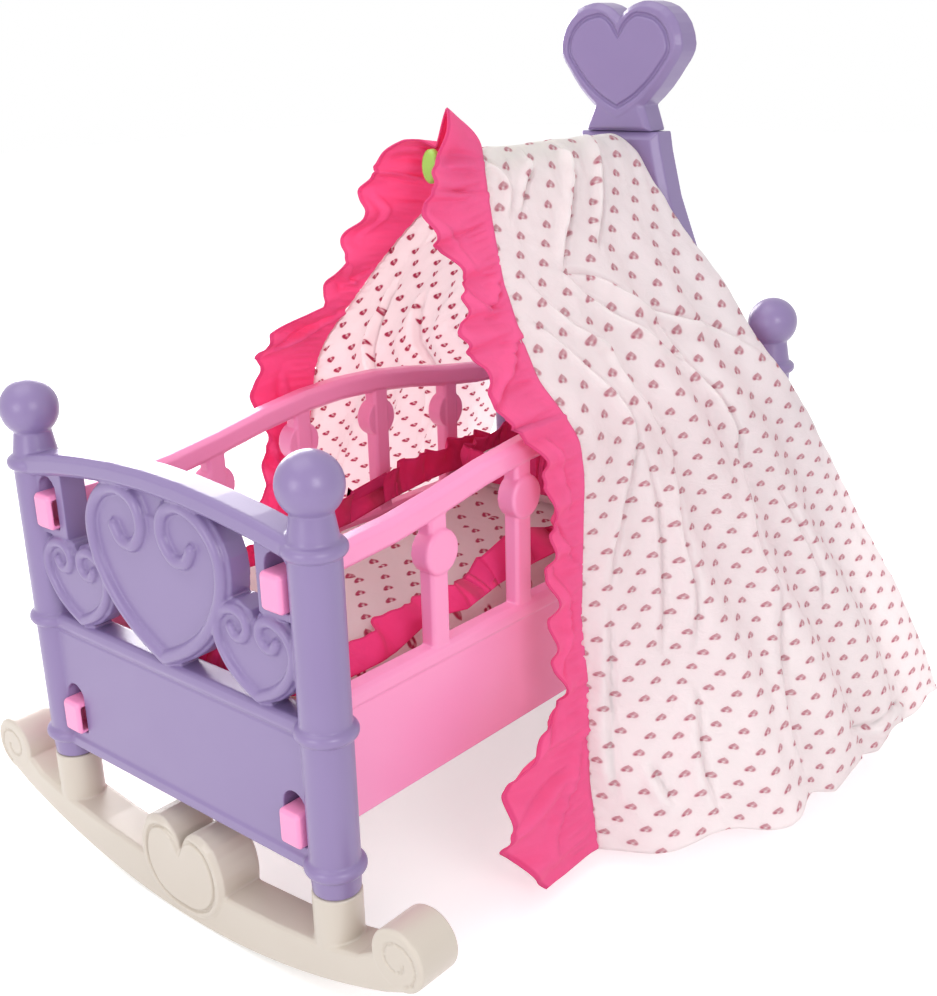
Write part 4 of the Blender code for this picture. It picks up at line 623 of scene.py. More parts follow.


# Gathers and creases of the near side: points (share from ridge to hem, across
# from front to rear), then height and half width in mm. The ridge of each lies on its right.
NEAR_CREASES = (
    (((0.02, 0.017), (0.045, 0.10), (0.075, 0.15), (0.12, 0.108)), 2.2, 4.0),
    (((0.015, 0.283), (0.045, 0.308), (0.07, 0.242), (0.115, 0.175)), 2.2, 4.0),
    (((0.02, 0.517), (0.04, 0.542), (0.085, 0.50), (0.155, 0.383), (0.205, 0.30)), 4.2, 5.0),
    (((0.0, 0.817), (0.03, 0.75), (0.085, 0.675), (0.135, 0.608), (0.185, 0.50)), 4.0, 5.0),
    (((0.21, 0.267), (0.23, 0.425), (0.29, 0.575), (0.31, 0.675), (0.355, 0.867),
      (0.405, 0.967)), 3.6, 6.5),
    (((0.215, 0.283), (0.29, 0.425), (0.33, 0.517), (0.40, 0.633)), 2.8, 5.0),
    (((0.22, 0.117), (0.275, 0.20), (0.31, 0.275), (0.335, 0.342), (0.39, 0.333),
      (0.435, 0.342), (0.51, 0.367)), 3.2, 5.0),
    (((0.275, 0.075), (0.33, 0.175), (0.39, 0.242), (0.435, 0.258), (0.48, 0.242)), 2.6, 4.5),
    (((0.30, 0.583), (0.34, 0.625), (0.40, 0.642), (0.46, 0.667), (0.515, 0.658),
      (0.56, 0.60)), 2.6, 5.5),
    (((0.47, 0.25), (0.525, 0.192), (0.605, 0.108), (0.66, 0.075)), 2.4, 6.0),
    (((0.495, 0.25), (0.585, 0.242), (0.695, 0.208), (0.76, 0.175)), 2.4, 7.0),
    (((0.495, 0.392), (0.59, 0.308), (0.685, 0.292), (0.77, 0.242)), 2.6, 7.0),
    (((0.51, 0.658), (0.585, 0.583), (0.66, 0.533), (0.715, 0.55)), 2.6, 8.0),
    (((0.60, 0.70), (0.665, 0.717), (0.725, 0.717), (0.78, 0.683)), 2.4, 8.0),
    (((0.885, 0.117), (0.945, 0.15)), 2.2, 6.0),
    (((0.95, 0.583), (0.97, 0.875)), 2.2, 6.0),
    (((0.68, 0.075), (0.805, 0.05), (0.93, 0.05)), 2.2, 6.0),
    (((0.805, 0.233), (0.905, 0.217), (0.975, 0.225)), 2.6, 8.0),
    (((0.715, 0.55), (0.79, 0.483), (0.895, 0.442), (0.975, 0.442)), 2.8, 9.0),
)
# The far side's outside is hidden; its creases are a few soft falls of the same kind.
FAR_CREASES = (
    (((0.02, 0.30), (0.08, 0.28), (0.18, 0.20)), 2.4, 5.0),
    (((0.02, 0.62), (0.10, 0.56), (0.22, 0.40)), 3.4, 6.0),
    (((0.24, 0.20), (0.40, 0.30), (0.55, 0.34)), 3.0, 6.0),
    (((0.30, 0.50), (0.50, 0.62), (0.66, 0.64)), 3.0, 7.0),
    (((0.60, 0.25), (0.80, 0.28), (0.97, 0.27)), 3.0, 9.0),
    (((0.66, 0.70), (0.82, 0.74), (0.97, 0.73)), 3.0, 9.0),
)
CREASE_FADE_POWER = 0.6
CREASE_GAIN = 1.5
CREASE_END_SHARE = 0.03
FOLD_END_SHARE = 0.06
SOFT_FALL = 2.4 * MM
SOFT_FALL_WIDTH = 34 * MM
SOFT_FALL_SQUEEZE = 0.4
FINE_WRINKLE = 1.0 * MM
FINE_WRINKLE_WIDTH = 12 * MM
RIDGE_GATHER = 2.0 * MM
RIDGE_GATHER_WIDTH = 9 * MM
RIDGE_GATHER_SHARE = 0.16
RIDGE_GATHER_SLANT = 0.35
RIDGE_GATHER_SQUEEZE = 0.12
RIDGE_LOOSE_SHARE = 0.45
RIDGE_CALM_SHARE = 0.03
PUCKER = 0.7 * MM
PUCKER_PITCH = 8 * MM
PUCKER_REACH = 8 * MM
SEAM_CALM_REACH = 4 * MM
SEAM_LIFT_SHARE = 0.3
# Below the middle the rows of the print look closer, because the cloth hangs slack there.
SLACK_START_SHARE = 0.42
SLACK_FULL_SHARE = 0.55
SLACK_GROWTH = 0.60


def smooth_noise(point, width, seed):
    """Smooth value from -1 to 1 that changes over about this width."""
    return noise.noise(Vector(point) / width + Vector((seed, seed * 1.7, seed * 0.3)))


def signed_shares(steps, spread):
    """Shares from -1 through 0 to 1, closer together near 0."""
    half = (np.arange(1, steps + 1) / steps) ** spread
    return np.concatenate((-half[::-1], [0], half))


def round_off(points, rounds):
    """Round off the corners between the rows of points, in place."""
    for _ in range(rounds):
        points[1:-1] = 0.5 * points[1:-1] + 0.25 * (points[:-2] + points[2:])


def flute_bulge(phase):
    """Bulge of a gathered strip: pinched at whole phases, full and slightly flat between."""
    return 0.25 * math.cos(2 * math.tau * phase) - math.cos(math.tau * phase)


def crease_shape(away, along, end_share, groove_depth, groove_width):
    """Ridge beside a sharp groove, across and along a crease, that fades at both ends."""
    fade = np.sin(np.pi * np.clip(along, end_share, 1 - end_share)) ** CREASE_FADE_POWER
    return fade * (np.exp(-(away - 0.9) ** 2 / 0.6)
                   - groove_depth * np.exp(-(away / groove_width) ** 2))


def thicken(piece):
    """Give a sheet of cloth its thickness."""
    body = piece.modifiers.new("cloth thickness", "SOLIDIFY")
    body.thickness = CLOTH_THICKNESS
    body.offset = 0
    return body


def grid_mesh(name, grid, flats, strips=None):
    """Mesh over a grid of points, with the flat cloth's coordinates as its UV map."""
    rows, columns = grid.shape[:2]
    faces = []
    for row in range(rows - 1):
        for column in range(columns - 1):
            first = row * columns + column
            faces.append((first, first + 1, first + columns + 1, first + columns))
    mesh = bpy.data.meshes.new(name)
    mesh.from_pydata(grid.reshape(-1, 3).tolist(), [], faces)
    corners = np.zeros(len(mesh.loops), dtype=np.int32)
    mesh.loops.foreach_get("vertex_index", corners)
    for layer_name, values in (("flat", flats), ("strip", strips)):
        if values is not None:
            places = values.reshape(-1, 2)[corners].astype(np.float32)
            mesh.uv_layers.new(name=layer_name).data.foreach_set("uv", places.ravel())
    mesh.polygons.foreach_set("use_smooth", [True] * len(mesh.polygons))
    return mesh


def surface_normals(grid):
    """Unit normals of a grid of points."""
    normal = np.cross(np.gradient(grid, axis=0), np.gradient(grid, axis=1))
    return normal / np.maximum(np.linalg.norm(normal, axis=2, keepdims=True), 1e-12)


def lengths_along(grid, axis):
    """Travel from the first point of each line along an axis of the grid."""
    steps = np.linalg.norm(np.diff(grid, axis=axis), axis=2)
    start = np.zeros((grid.shape[0], 1) if axis == 1 else (1, grid.shape[1]))
    return np.concatenate((start, np.cumsum(steps, axis=axis)), axis=axis)


def signed_distance(u, v, path):
    """Distance of each (u, v) from a path, positive on its left, and the share along it."""
    best = np.full(u.shape, np.inf)
    along = np.zeros(u.shape)
    count = len(path) - 1
    for index in range(count):
        start = path[index]
        step = path[index + 1] - start
        t = np.clip(((u - start[0]) * step[0] + (v - start[1]) * step[1]) / (step @ step), 0, 1)
        off_u = u - start[0] - t * step[0]
        off_v = v - start[1] - t * step[1]
        reach = np.hypot(off_u, off_v)
        side = np.where(step[0] * off_v - step[1] * off_u >= 0, 1.0, -1.0)
        closer = reach < np.abs(best)
        best = np.where(closer, side * reach, best)
        along = np.where(closer, (index + t) / count, along)
    return best, along


def crease_lift(share, u, v, side):
    """Height that the listed creases add on one side of the canopy."""
    columns = np.linspace(0, 1, u.shape[1])
    lift = np.zeros(u.shape)
    order = np.argsort(share)
    for path, height, width in (NEAR_CREASES if side > 0 else FAR_CREASES):
        points = []
        for path_share, path_across in smooth_path(path, 5):
            row_u = [float(np.interp(path_share, share[order], u[order, column]))
                     for column in (0, -1)]
            row_v = float(np.interp(path_share, share[order], v[order, 0]))
            points.append((row_u[0] + (row_u[1] - row_u[0]) * path_across, row_v))
        reach, along = signed_distance(u, v, np.array(points))
        beyond = np.maximum(np.abs(along - 0.5) - 0.5 + CREASE_END_SHARE, 0)
        shape = crease_shape(side * reach / (width * MM), along, CREASE_END_SHARE, 1.3, 0.32)
        lift += CREASE_GAIN * height * MM * np.exp(-(beyond / CREASE_END_SHARE) ** 2) * shape
    return lift


def canopy_sheet():
    """Printed canopy: one sheet over the arm, with gathers, creases and a scalloped hem."""
    signed = signed_shares(SHEET_ROWS, SHEET_SPREAD)
    share = np.abs(signed)
    across = np.linspace(0, 1, SHEET_COLUMNS)[None, :]
    grid = np.array([drape(-1 if place < 0 else 1, abs(place), across[0]) for place in signed])
    round_off(grid, SHEET_ROUNDS)
    middle = SHEET_COLUMNS // 2
    u = lengths_along(grid, 1)
    u = u - u[:, middle:middle + 1] + grid[:, middle:middle + 1, 1]
    travel = lengths_along(grid, 0).mean(axis=1)
    travel -= travel[SHEET_ROWS]
    v = np.repeat(travel[:, None], SHEET_COLUMNS, axis=1)
    normal = surface_normals(grid)
    outward = np.sign(normal[..., 0] * grid[..., 0] + normal[..., 2] * 0.05)
    normal *= np.where(outward == 0, 1, outward)[..., None]
    lift = np.zeros(u.shape)
    near = slice(SHEET_ROWS, None)
    far = slice(0, SHEET_ROWS + 1)
    lift[near] = crease_lift(share[near], u[near], v[near], 1)
    lift[far] += crease_lift(share[far], u[far], v[far], -1)
    for row in range(grid.shape[0]):
        near_ridge = math.exp(-(share[row] / RIDGE_GATHER_SHARE) ** 2)
        for column in range(SHEET_COLUMNS):
            flat = (u[row, column], v[row, column], 0.0)
            falls = (flat[0], flat[1] * SOFT_FALL_SQUEEZE, 0.0)
            gathers = (flat[0] + RIDGE_GATHER_SLANT * abs(flat[1]),
                       flat[1] * RIDGE_GATHER_SQUEEZE, 0.0)
            lift[row, column] += SOFT_FALL * smooth_noise(falls, SOFT_FALL_WIDTH, 3.1)
            lift[row, column] += FINE_WRINKLE * smooth_noise(flat, FINE_WRINKLE_WIDTH, 7.7)
            lift[row, column] += near_ridge * RIDGE_GATHER * smooth_noise(
                gathers, RIDGE_GATHER_WIDTH, 5.3)
    # Small puckers where the ruffle's stitching draws the front edge in.
    from_edge = u - u[:, :1]
    puckers = PUCKER * np.sin(v * math.tau / PUCKER_PITCH + 3 * np.sin(v * 60))
    lift += puckers * np.exp(-(from_edge / PUCKER_REACH) ** 2)
    # The cloth lies flat along the arm and along the seam.
    calm = np.clip(share / RIDGE_CALM_SHARE, 0, 1)[:, None]
    lift = np.where(lift > 0, lift * (RIDGE_LOOSE_SHARE + (1 - RIDGE_LOOSE_SHARE) * calm),
                    lift * calm)
    lift *= np.clip(from_edge / SEAM_CALM_REACH + SEAM_LIFT_SHARE, 0, 1)
    grid = grid + normal * lift[..., None]
    slack = np.clip((share - SLACK_START_SHARE) / (SLACK_FULL_SHARE - SLACK_START_SHARE), 0, 1)
    print_steps = np.diff(travel) * (1 + SLACK_GROWTH * 0.5 * (slack[1:] + slack[:-1]))
    print_v = np.concatenate(([0], np.cumsum(print_steps)))
    print_v -= print_v[SHEET_ROWS]
    flats = np.stack((u, np.repeat(print_v[:, None], SHEET_COLUMNS, axis=1)), axis=2)
    piece = link("canopy_print_sheet", grid_mesh("canopy_print_sheet", grid, flats))
    body = thicken(piece)
    body.material_offset = 1
    body.material_offset_rim = 0
    piece.data.materials.append(PRINT_FACE)
    piece.data.materials.append(PRINT_BACK)
    bake_modifiers(piece)
    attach(piece, "cradle")
    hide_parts("canopy_cloth")
    return piece


canopy = canopy_sheet()

# Ruffle of the canopy. Stations: seam share, then width towards the foot, outward lean and
# rise as shares of its full width.
RUFFLE_FULL_WIDTH = 87 * MM
NEAR_RUFFLE_SHARES = (
    (0.000, 0.494, 0.000, 0.034), (0.010, 0.437, 0.046, 0.345), (0.020, 0.460, 0.023, 0.207),
    (0.033, 0.517, 0.011, 0.046), (0.055, 0.655, 0.000, 0.000), (0.107, 0.701, 0.069, -0.092),
    (0.200, 0.345, 0.011, 0.000), (0.275, 0.609, 0.011, 0.000), (0.330, 0.506, -0.023, 0.034),
    (0.400, 0.552, -0.011, 0.000), (0.490, 0.414, 0.000, 0.000), (0.565, 0.368, 0.023, 0.000),
    (0.670, 0.356, 0.023, 0.000), (0.785, 0.299, 0.023, 0.000), (0.810, 0.552, 0.023, 0.000),
    (0.850, 0.908, 0.011, 0.046), (0.925, 1.000, 0.011, 0.000), (1.000, 0.632, 0.046, -0.011))
FAR_RUFFLE_SHARES = (
    (0.000, 0.494, 0.000, 0.034), (0.010, 0.552, 0.034, 0.115), (0.020, 0.621, 0.046, 0.149),
    (0.047, 0.621, 0.287, 0.103), (0.107, 0.483, 0.230, 0.080), (0.210, 0.368, 0.046, 0.034),
    (0.290, 0.276, 0.023, 0.057), (0.330, 0.598, 0.080, 0.057), (0.410, 0.552, 0.080, 0.092),
    (0.455, 0.621, 0.069, 0.046), (0.565, 0.391, 0.023, 0.000), (0.785, 0.345, 0.023, 0.000),
    (0.850, 0.690, 0.011, 0.046), (1.000, 0.632, 0.046, -0.011))
RUFFLE_RISE_POWER = 0.6
# Folds that cross the strip: points (seam share, reach from seam to hem), then
# height and half width in mm. The far side's folds are their twins.
RUFFLE_FOLDS = (
    (((0.030, 0.87), (0.028, 0.60), (0.028, 0.13)), 4.0, 3.5),
    (((0.056, 1.00), (0.061, 0.60), (0.073, 0.03)), 3.0, 3.5),
    (((0.086, 0.83), (0.125, 0.60), (0.168, 0.67)), 2.0, 4.0),
    (((0.201, 0.97), (0.234, 0.57), (0.247, 0.20)), 3.0, 4.0),
    (((0.213, 0.07), (0.225, 0.12), (0.250, 0.45)), 3.0, 3.5),
    (((0.300, 0.03), (0.331, 0.33), (0.355, 0.63), (0.389, 0.93)), 5.0, 4.5),
    (((0.427, 0.57), (0.470, 0.47), (0.532, 0.37)), 3.0, 4.0),
    (((0.521, 1.00), (0.565, 0.73), (0.614, 0.17)), 3.5, 4.0),
    (((0.621, 0.73), (0.690, 0.27), (0.737, 0.60), (0.784, 1.00)), 3.5, 4.0),
    (((0.784, 0.93), (0.828, 0.73), (0.848, 0.90)), 3.5, 5.0),
    (((0.852, 0.03), (0.905, 0.20), (0.963, 0.57)), 4.0, 5.0),
    (((0.901, 1.00), (0.889, 0.63), (0.877, 0.27)), 4.0, 5.0))
PANEL_CLEARANCE = 2.0 * MM
PANEL_TOP_MARGIN = 8 * MM
RUFFLE_STEP_SPREAD = 1.25
RUFFLE_ROUNDS = 30
# Seam shares at which the strip is pinched between two flutes.
NEAR_PINCHES = (0.0, 0.035, 0.075, 0.13, 0.215, 0.26, 0.305, 0.375, 0.43, 0.50, 0.56, 0.62,
                0.68, 0.74, 0.80, 0.86, 0.93, 1.0)
FAR_PINCHES = (0.0, 0.06, 0.12, 0.20, 0.29, 0.36, 0.43, 0.52, 0.62, 0.72, 0.82, 0.91, 1.0)
RUFFLE_STEPS = 420
RUFFLE_PARTS = 26
FLUTE = 4.2 * MM
FLUTE_ROLL = 1.4 * MM
SEAM_GATHER = 0.8 * MM
SEAM_GATHER_PITCH = 7 * MM
SEAM_WOBBLE_WIDTH = 14 * MM
SEAM_TUCK = 1.5 * MM
SEAM_LIFT = 1.5 * MM
CRUMPLE = 5.0 * MM
CRUMPLE_WIDTH = 19 * MM
SMALL_CRUMPLE = 1.7 * MM
SMALL_CRUMPLE_WIDTH = 7 * MM


def strip_piece(name, grid, node, material, body):
    """Cloth strip from a grid whose columns run from its seam to its hem."""
    flats = np.stack((lengths_along(grid, 0).mean(axis=1)[:, None].repeat(grid.shape[1], axis=1),
                      lengths_along(grid, 1)), axis=2)
    reach = np.linspace(0, 1, grid.shape[1])[None, :].repeat(grid.shape[0], axis=0)
    strips = np.stack((flats[..., 0], reach), axis=2)
    piece = link(name, grid_mesh(name, grid, flats, strips))
    thicken(piece)
    bake_modifiers(piece)
    return hand_over(piece, node, material, body)


def fold_lift(share, widths, reach, length):
    """Height that the listed folds add to one half of the strip."""
    u = length[:, None].repeat(len(reach), axis=1)
    v = widths[:, None] * reach[None, :]
    lift = np.zeros(u.shape)
    for path, height, width in RUFFLE_FOLDS:
        points = [(float(np.interp(path_share, share, length)),
                   float(np.interp(path_share, share, widths)) * path_reach)
                  for path_share, path_reach in smooth_path(path, 5)]
        away, along = signed_distance(u, v, np.array(points))
        lift += height * MM * crease_shape(away / (width * MM), along, FOLD_END_SHARE, 1.2, 0.4)
    return lift


def canopy_ruffle():
    """Gathered hot pink strip along the canopy's front edge."""
    signed = signed_shares(RUFFLE_STEPS, RUFFLE_STEP_SPREAD)
    reach = np.linspace(0, 1, RUFFLE_PARTS + 1)
    seams = np.array([drape(-1 if place < 0 else 1, abs(place), 0.0) for place in signed])
    round_off(seams, RUFFLE_ROUNDS)
    tangents = np.gradient(seams, axis=0)
    tangents /= np.linalg.norm(tangents, axis=1, keepdims=True)
    travel = np.concatenate(([0], np.cumsum(np.linalg.norm(np.diff(seams, axis=0), axis=1))))
    grid = []
    widths = []
    for place, seam, tangent, length in zip(signed, seams, tangents, travel):
        side = -1 if place < 0 else 1
        stations = np.array(FAR_RUFFLE_SHARES if place < 0 else NEAR_RUFFLE_SHARES)
        stations[:, 1:] *= RUFFLE_FULL_WIDTH
        width, lean, rise = (float(np.interp(abs(place), stations[:, 0], stations[:, column]))
                             for column in (1, 2, 3))
        pinches = FAR_PINCHES if place < 0 else NEAR_PINCHES
        phase = float(np.interp(abs(place), pinches, range(len(pinches))))
        calm = min(1.0, abs(place) / RIDGE_CALM_SHARE)
        bulge = calm * flute_bulge(phase)
        roll = calm * side * math.sin(math.tau * phase)
        wobble = smooth_noise((length, 0.0, 0.0), SEAM_WOBBLE_WIDTH, 2.3)
        gather = SEAM_GATHER * (math.sin(length * math.tau / SEAM_GATHER_PITCH) + 1.5 * wobble)
        row = []
        for share in reach:
            forward = -SEAM_TUCK + (width + SEAM_TUCK) * share
            out = side * lean * share + side * FLUTE * bulge * share ** 0.8
            out += side * (gather * math.sin(math.pi * min(share * 1.8, 1))
                           + SEAM_LIFT * (1 - share) ** 8)
            crumpled = (length + 0.25 * width * share, 0.35 * width * share, 0.0)
            out += CRUMPLE * share ** 0.7 * smooth_noise(crumpled, CRUMPLE_WIDTH, 9.1)
            out += SMALL_CRUMPLE * share ** 0.5 * smooth_noise(crumpled, SMALL_CRUMPLE_WIDTH, 1.9)
            point = seam + np.array((out, -forward, rise * share ** RUFFLE_RISE_POWER))
            row.append(point - tangent * FLUTE_ROLL * roll * share)
        grid.append(row)
        widths.append(width)
    grid = np.array(grid)
    for side, rows in ((-1, slice(RUFFLE_STEPS, None, -1)), (1, slice(RUFFLE_STEPS, None))):
        grid[rows, :, 0] += side * fold_lift(abs(signed[rows]), np.array(widths)[rows], reach,
                                             abs(travel[rows] - travel[RUFFLE_STEPS]))
    # Beside the side panels the strip stays outside them.
    panel_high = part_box("side_panel_right")[1]
    beside = grid[..., 2] < panel_high.z + PANEL_TOP_MARGIN
    outside = np.maximum(np.abs(grid[..., 0]), panel_high.x + PANEL_CLEARANCE)
    grid[..., 0] = np.where(beside, np.sign(grid[..., 0]) * outside, grid[..., 0])
    return strip_piece("canopy_ruffle_strip", grid, "canopy_ruffle", HOT_PINK_CLOTH, "cradle")


ruffle = canopy_ruffle()

# Bedding. Heights are above the boards' lower edge, places run along the bed from the foot.
COVERLET_RISE = 8.2 * MM
COVERLET_FAR_SPREAD = 1.07
COVERLET_FILL_SHARE = 0.7
PAD_VOXEL = 4.5 * MM
PAD_CAP = 2.5 * MM
BAND_CLEARANCE = 1.3 * MM
BAND_REACH_X = 91.2 * MM
BAND_CRUMPLE = 4.5 * MM
BAND_CRUMPLE_WIDTH = 9 * MM
BAND_CRUMPLE_RISE = 12 * MM
BAND_BELLY = 2.5 * MM
BAND_WOBBLE = 3.0 * MM
BAND_WOBBLE_WIDTH = 16 * MM
BAND_STEPS = 720
BAND_PARTS = 14
COVERLET_OVERHANG = 3.2 * MM
COVERLET_FLUTE = 3.2 * MM
PILLOW_OVERHANG = 2.6 * MM
PILLOW_FLUTE = 2.4 * MM
# The pillow's band: height of its lower edge, height and swing of its upper edge, and the
# upper edge's inset, in mm.
PILLOW_BAND = (117.0, 143.0, 5.0, 2.0)
PAD_FRAMES = 20
PAD_PRESSURE = 4.0


def padded_copy(node, name, body, rise):
    """Stuffed stand-in for a cushion's solid: even skin, blown up a little by simulated air."""
    mesh, work = joined_copy(node)
    low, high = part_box(node)
    # The top slopes up towards the far side, where the padding is pushed together.
    for vert in work.verts:
        top = np.clip((vert.co.z - low.z) / (high.z - low.z), 0, 1)
        far = np.clip((0.5 * high.x - vert.co.x) / (1.5 * high.x), 0, 1)
        far *= far * (3 - 2 * far)
        if rise and top > 0.4:
            vert.co.z += COVERLET_FILL_SHARE * far * (high.z - vert.co.z)
        vert.co.z += rise * top * far
        if rise and vert.co.x < 0:
            vert.co.x *= 1 + (COVERLET_FAR_SPREAD - 1) * top
    work.to_mesh(mesh)
    work.free()
    piece = link(name, mesh)
    even_skin(piece, PAD_VOXEL)
    bake_modifiers(piece)
    blow_up(piece, body)
    work = bmesh.new()
    work.from_mesh(piece.data)
    layer = work.loops.layers.uv.new("flat")
    for face in work.faces:
        face.smooth = True
        for corner in face.loops:
            place = corner.vert.co
            corner[layer].uv = (place.y, place.x + math.copysign(high.z - place.z, -place.x))
    work.to_mesh(piece.data)
    work.free()
    finer = piece.modifiers.new("finer", "SUBSURF")
    finer.levels = 1
    bake_modifiers(piece)
    hand_over(piece, node, PRINT_FACE, body)
    return piece


def blow_up(piece, body):
    """Let simulated air fill the cover, then keep each point within the cap of its start."""
    starts = [vert.co.copy() for vert in piece.data.vertices]
    air = piece.modifiers.new("air", "CLOTH")
    air.settings.use_pressure = True
    air.settings.uniform_pressure_force = PAD_PRESSURE
    air.settings.effector_weights.gravity = 0
    air.settings.quality = 4
    air.settings.shrink_min = -0.03
    air.settings.shrink_max = -0.03
    air.point_cache.frame_start = 1
    air.point_cache.frame_end = PAD_FRAMES
    for step in range(1, PAD_FRAMES + 1):
        bpy.context.scene.frame_set(step)
    bake_modifiers(piece)
    bpy.context.scene.frame_set(1)
    for vert, start in zip(piece.data.vertices, starts):
        move = vert.co - start
        if move.length > PAD_CAP:
            move *= PAD_CAP / move.length
        move.z = max(move.z, -0.5 * MM)
        if start.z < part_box(body)[0].z + 4 * MM:
            move *= 0
        vert.co = start + move


coverlet = padded_copy("coverlet", "coverlet_pad", "coverlet", COVERLET_RISE)
pillow = padded_copy("pillow", "pillow_pad", "pillow", 0.0)


def rounded_loop(centre, half_size, power, count):
    """Evenly spaced points and outward directions round a rounded rectangle."""
    angles = np.linspace(0, math.tau, count * 8, endpoint=False)
    cosine = np.cos(angles)
    sine = np.sin(angles)
    x = np.copysign(np.abs(cosine) ** (2 / power), cosine)
    y = np.copysign(np.abs(sine) ** (2 / power), sine)
    outward = np.stack((np.copysign(np.abs(x) ** (power - 1), x) / half_size[0],
                        np.copysign(np.abs(y) ** (power - 1), y) / half_size[1]), axis=1)
    outward /= np.linalg.norm(outward, axis=1, keepdims=True)
    points = np.stack((centre[0] + x * half_size[0], centre[1] + y * half_size[1]), axis=1)
    steps = np.linalg.norm(np.roll(points, -1, axis=0) - points, axis=1)
    travel = np.concatenate(([0], np.cumsum(steps)))[:-1]
    picks = np.searchsorted(travel, steps.sum() * np.arange(count) / count) % len(points)
    return points[picks], outward[picks]


# Bands: place along the bed, then heights of the lower and the upper edge and how far they
# lie inside the cover's edge, all in mm.
NEAR_BAND = (
    (26, 90, 104, -4, 8), (61, 94, 106, -6, 8), (85, 92, 106, -2, 12), (105, 90, 110, 4, 18),
    (139, 101, 112, 4, 18), (165, 99, 110, -2, 16), (182, 106, 112, -6, 12),
    (196, 109, 128, -6, 12), (212, 111, 137, -6, 12), (250, 111, 127, -6, 14),
    (278, 110, 119, -4, 14), (330, 110, 122, -4, 12), (434, 100, 118, -3, 8))
FAR_BAND = (
    (26, 90, 112, -4, 0), (120, 94, 116, -7, -4), (213, 101, 120, -7, -5),
    (224, 101, 124, -7, -5), (247, 101, 133, -7, -5), (270, 107, 131, -7, -5),
    (312, 111, 138, -7, -5), (336, 112, 133, -7, -5), (360, 111, 140, -7, -5),
    (434, 102, 126, -4, 0))


def bed_band(node, name, body, pad, overhang, edges_at, flutes, flute):
    """Gathered band round a piece of bedding, between a lower and an upper edge."""
    count = BAND_STEPS
    box_low, box_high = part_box(body)
    centre = (0, (box_low.y + box_high.y) / 2)
    half_size = (box_high.x + overhang, (box_high.y - box_low.y) / 2 + overhang)
    bpy.context.view_layer.update()
    corners = [pad.matrix_world @ vert.co for vert in pad.data.vertices]
    surface = BVHTree.FromPolygons(corners, [list(face.vertices) for face in pad.data.polygons])
    loop, outward = rounded_loop(centre, half_size, 8, count)
    reach = np.linspace(0, 1, BAND_PARTS + 1)
    grid = []
    for step in range(count + 1):
        point = loop[step % count]
        out = outward[step % count]
        low_z, high_z, low_in, high_in = (value * MM for value in edges_at(point))
        turn = math.tau * step / count
        phase = flutes * step / count + 0.35 * math.sin(3 * turn) + 0.2 * math.sin(7 * turn)
        bulge = flute_bulge(phase)
        wobble = smooth_noise((point[0], point[1], 0.0), BAND_WOBBLE_WIDTH, 4.4)
        row = []
        for share in reach:
            inside = low_in + (high_in - low_in) * share - flute * bulge * share
            inside -= BAND_BELLY * math.sin(math.pi * share)
            height = low_z + (high_z - low_z) * share + BAND_WOBBLE * wobble * share
            height += 0.4 * flute * bulge * share
            crumpled = (point[0], point[1], BAND_CRUMPLE_RISE * share)
            inside += BAND_CRUMPLE * share * smooth_noise(crumpled, BAND_CRUMPLE_WIDTH, 6.2)
            place = point - out * inside
            place[0] = min(max(place[0], -BAND_REACH_X), BAND_REACH_X)
            z = SKIRT_Z + height
            # Where the band lies over the padding, it rests on it.
            hit = surface.ray_cast(Vector((place[0], place[1], 1.0)), Vector((0, 0, -1)))[0]
            if hit:
                z = max(z, hit.z + BAND_CLEARANCE)
            row.append((place[0], place[1], z))
        grid.append(row)
    # The band's darker pink is painted shade for its place inside the cradle.
    piece = strip_piece(name, np.array(grid), node, SHADED_HOT_PINK_CLOTH, body)
    return piece


def coverlet_edges(point):
    """Heights and insets of the coverlet's band at a point of its loop, in mm."""
    along = (point[1] - FOOT_Y) / MM
    near = float(np.clip(0.5 + 0.6 * point[0] / COVERLET_HALF, 0, 1))
    tables = [np.array(band, float) for band in (FAR_BAND, NEAR_BAND)]
    far_values, near_values = ([float(np.interp(along, table[:, 0], table[:, column]))
                                for column in range(1, 5)] for table in tables)
    return [far * (1 - near) + close * near for far, close in zip(far_values, near_values)]


def pillow_edges(point):
    """Heights and insets of the pillow's band, in mm."""
    low, high, swing, inset = PILLOW_BAND
    along = (point[1] - FOOT_Y) / MM
    return low, high + swing * math.sin(along / 17 + point[0] / MM / 23), 0.0, inset


COVERLET_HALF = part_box("coverlet")[1].x
bed_band("coverlet_ruffle", "coverlet_ruffle_strip", "coverlet", coverlet, COVERLET_OVERHANG,
         coverlet_edges, 34, COVERLET_FLUTE)
bed_band("pillow_ruffle", "pillow_ruffle_strip", "pillow", pillow, PILLOW_OVERHANG,
         pillow_edges, 20, PILLOW_FLUTE)


def seen_directly(tree):
    """One where the camera sees a surface, straight or mirrored or through, otherwise zero."""
    path = add_node(tree, "ShaderNodeLightPath")
    seen = path.outputs["Is Camera Ray"]
    for kind in ("Is Glossy Ray", "Is Transmission Ray"):
        seen = add_node(tree, "ShaderNodeMath", {0: seen, 1: path.outputs[kind]},
                        operation="MAXIMUM")
    return seen


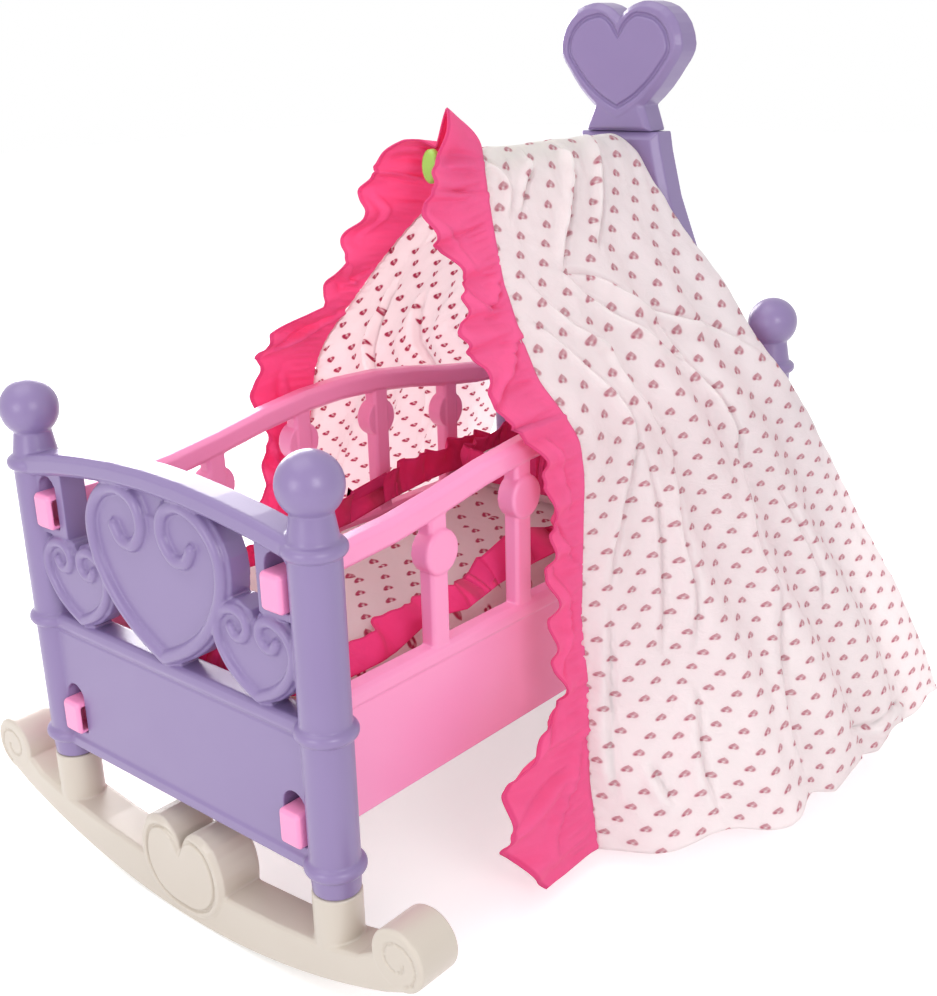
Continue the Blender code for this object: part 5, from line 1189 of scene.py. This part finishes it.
def studio():
    """Pale floor, soft light and white surroundings."""
    mesh = bpy.data.meshes.new("studio_floor")
    half = FLOOR_HALF
    mesh.from_pydata([(-half, -half, 0), (half, -half, 0), (half, half, 0), (-half, half, 0)],
                     [], [(0, 1, 2, 3)])
    floor = link("studio_floor", mesh)
    material, tree, shader = new_material("pale_studio_floor")
    shader.inputs["Base Color"].default_value = linear("#F4F4F4")
    shader.inputs["Roughness"].default_value = 0.9
    glow = add_node(tree, "ShaderNodeMath", {0: seen_directly(tree), 1: FLOOR_GLOW},
                    operation="MULTIPLY")
    tree.links.new(glow.outputs[0], shader.inputs["Emission Strength"])
    shader.inputs["Emission Color"].default_value = (1, 1, 1, 1)
    mesh.materials.append(material)

    world = bpy.data.worlds.new("studio")
    bpy.context.scene.world = world
    world.use_nodes = True
    tree = world.node_tree
    surround = tree.nodes["Background"]
    surround.inputs["Color"].default_value = (1, 1, 1, 1)
    strength = add_node(tree, "ShaderNodeMapRange", {"Value": seen_directly(tree),
                                                     "To Min": SURROUND_LIGHT, "To Max": 1.0})
    tree.links.new(strength.outputs["Result"], surround.inputs["Strength"])

    middle = Vector(LAMP_AIM)
    for name, place, size, energy in LAMPS:
        light = bpy.data.lights.new(name, "AREA")
        light.shape = "SQUARE"
        light.size = size
        light.energy = energy
        lamp = link(name, light)
        lamp.location = place
        lamp.rotation_euler = (middle - Vector(place)).to_track_quat("-Z", "Y").to_euler()


def photograph_camera():
    """Camera at the photograph's place, with its focal length and framing."""
    data = bpy.data.cameras.new("camera")
    camera = link("camera", data)
    camera.location = CAMERA_PLACE
    camera.rotation_euler = [math.radians(angle) for angle in CAMERA_TURN_DEGREES]
    longest = max(PICTURE_WIDTH, PICTURE_HEIGHT)
    data.sensor_width = SENSOR_MM
    data.lens = CAMERA_FOCUS_PIXELS / longest * SENSOR_MM
    data.shift_x = (PICTURE_WIDTH / 2 - CAMERA_MIDDLE_PIXELS[0]) / longest
    data.shift_y = (CAMERA_MIDDLE_PIXELS[1] - PICTURE_HEIGHT / 2) / longest
    data.clip_start = 0.01
    bpy.context.scene.camera = camera


FLOOR_HALF = 6.0
FLOOR_GLOW = 0.42
SURROUND_LIGHT = 0.68
LAMP_AIM = (0, 0, 0.25)
# Lamps: name, place, side of the square and watts.
LAMPS = (("overhead_softbox", (-0.3, -0.5, 1.9), 1.4, 10.0),
         ("background_softbox", (-1.35, 0.65, 0.75), 0.9, 20.0),
         ("foot_softbox", (0.067, -1.27, 0.50), 0.45, 2.8),
         ("side_softbox", (1.09, -0.555, 0.695), 0.45, 3.6))
studio()
photograph_camera()
bpy.context.scene.view_settings.view_transform = "Standard"
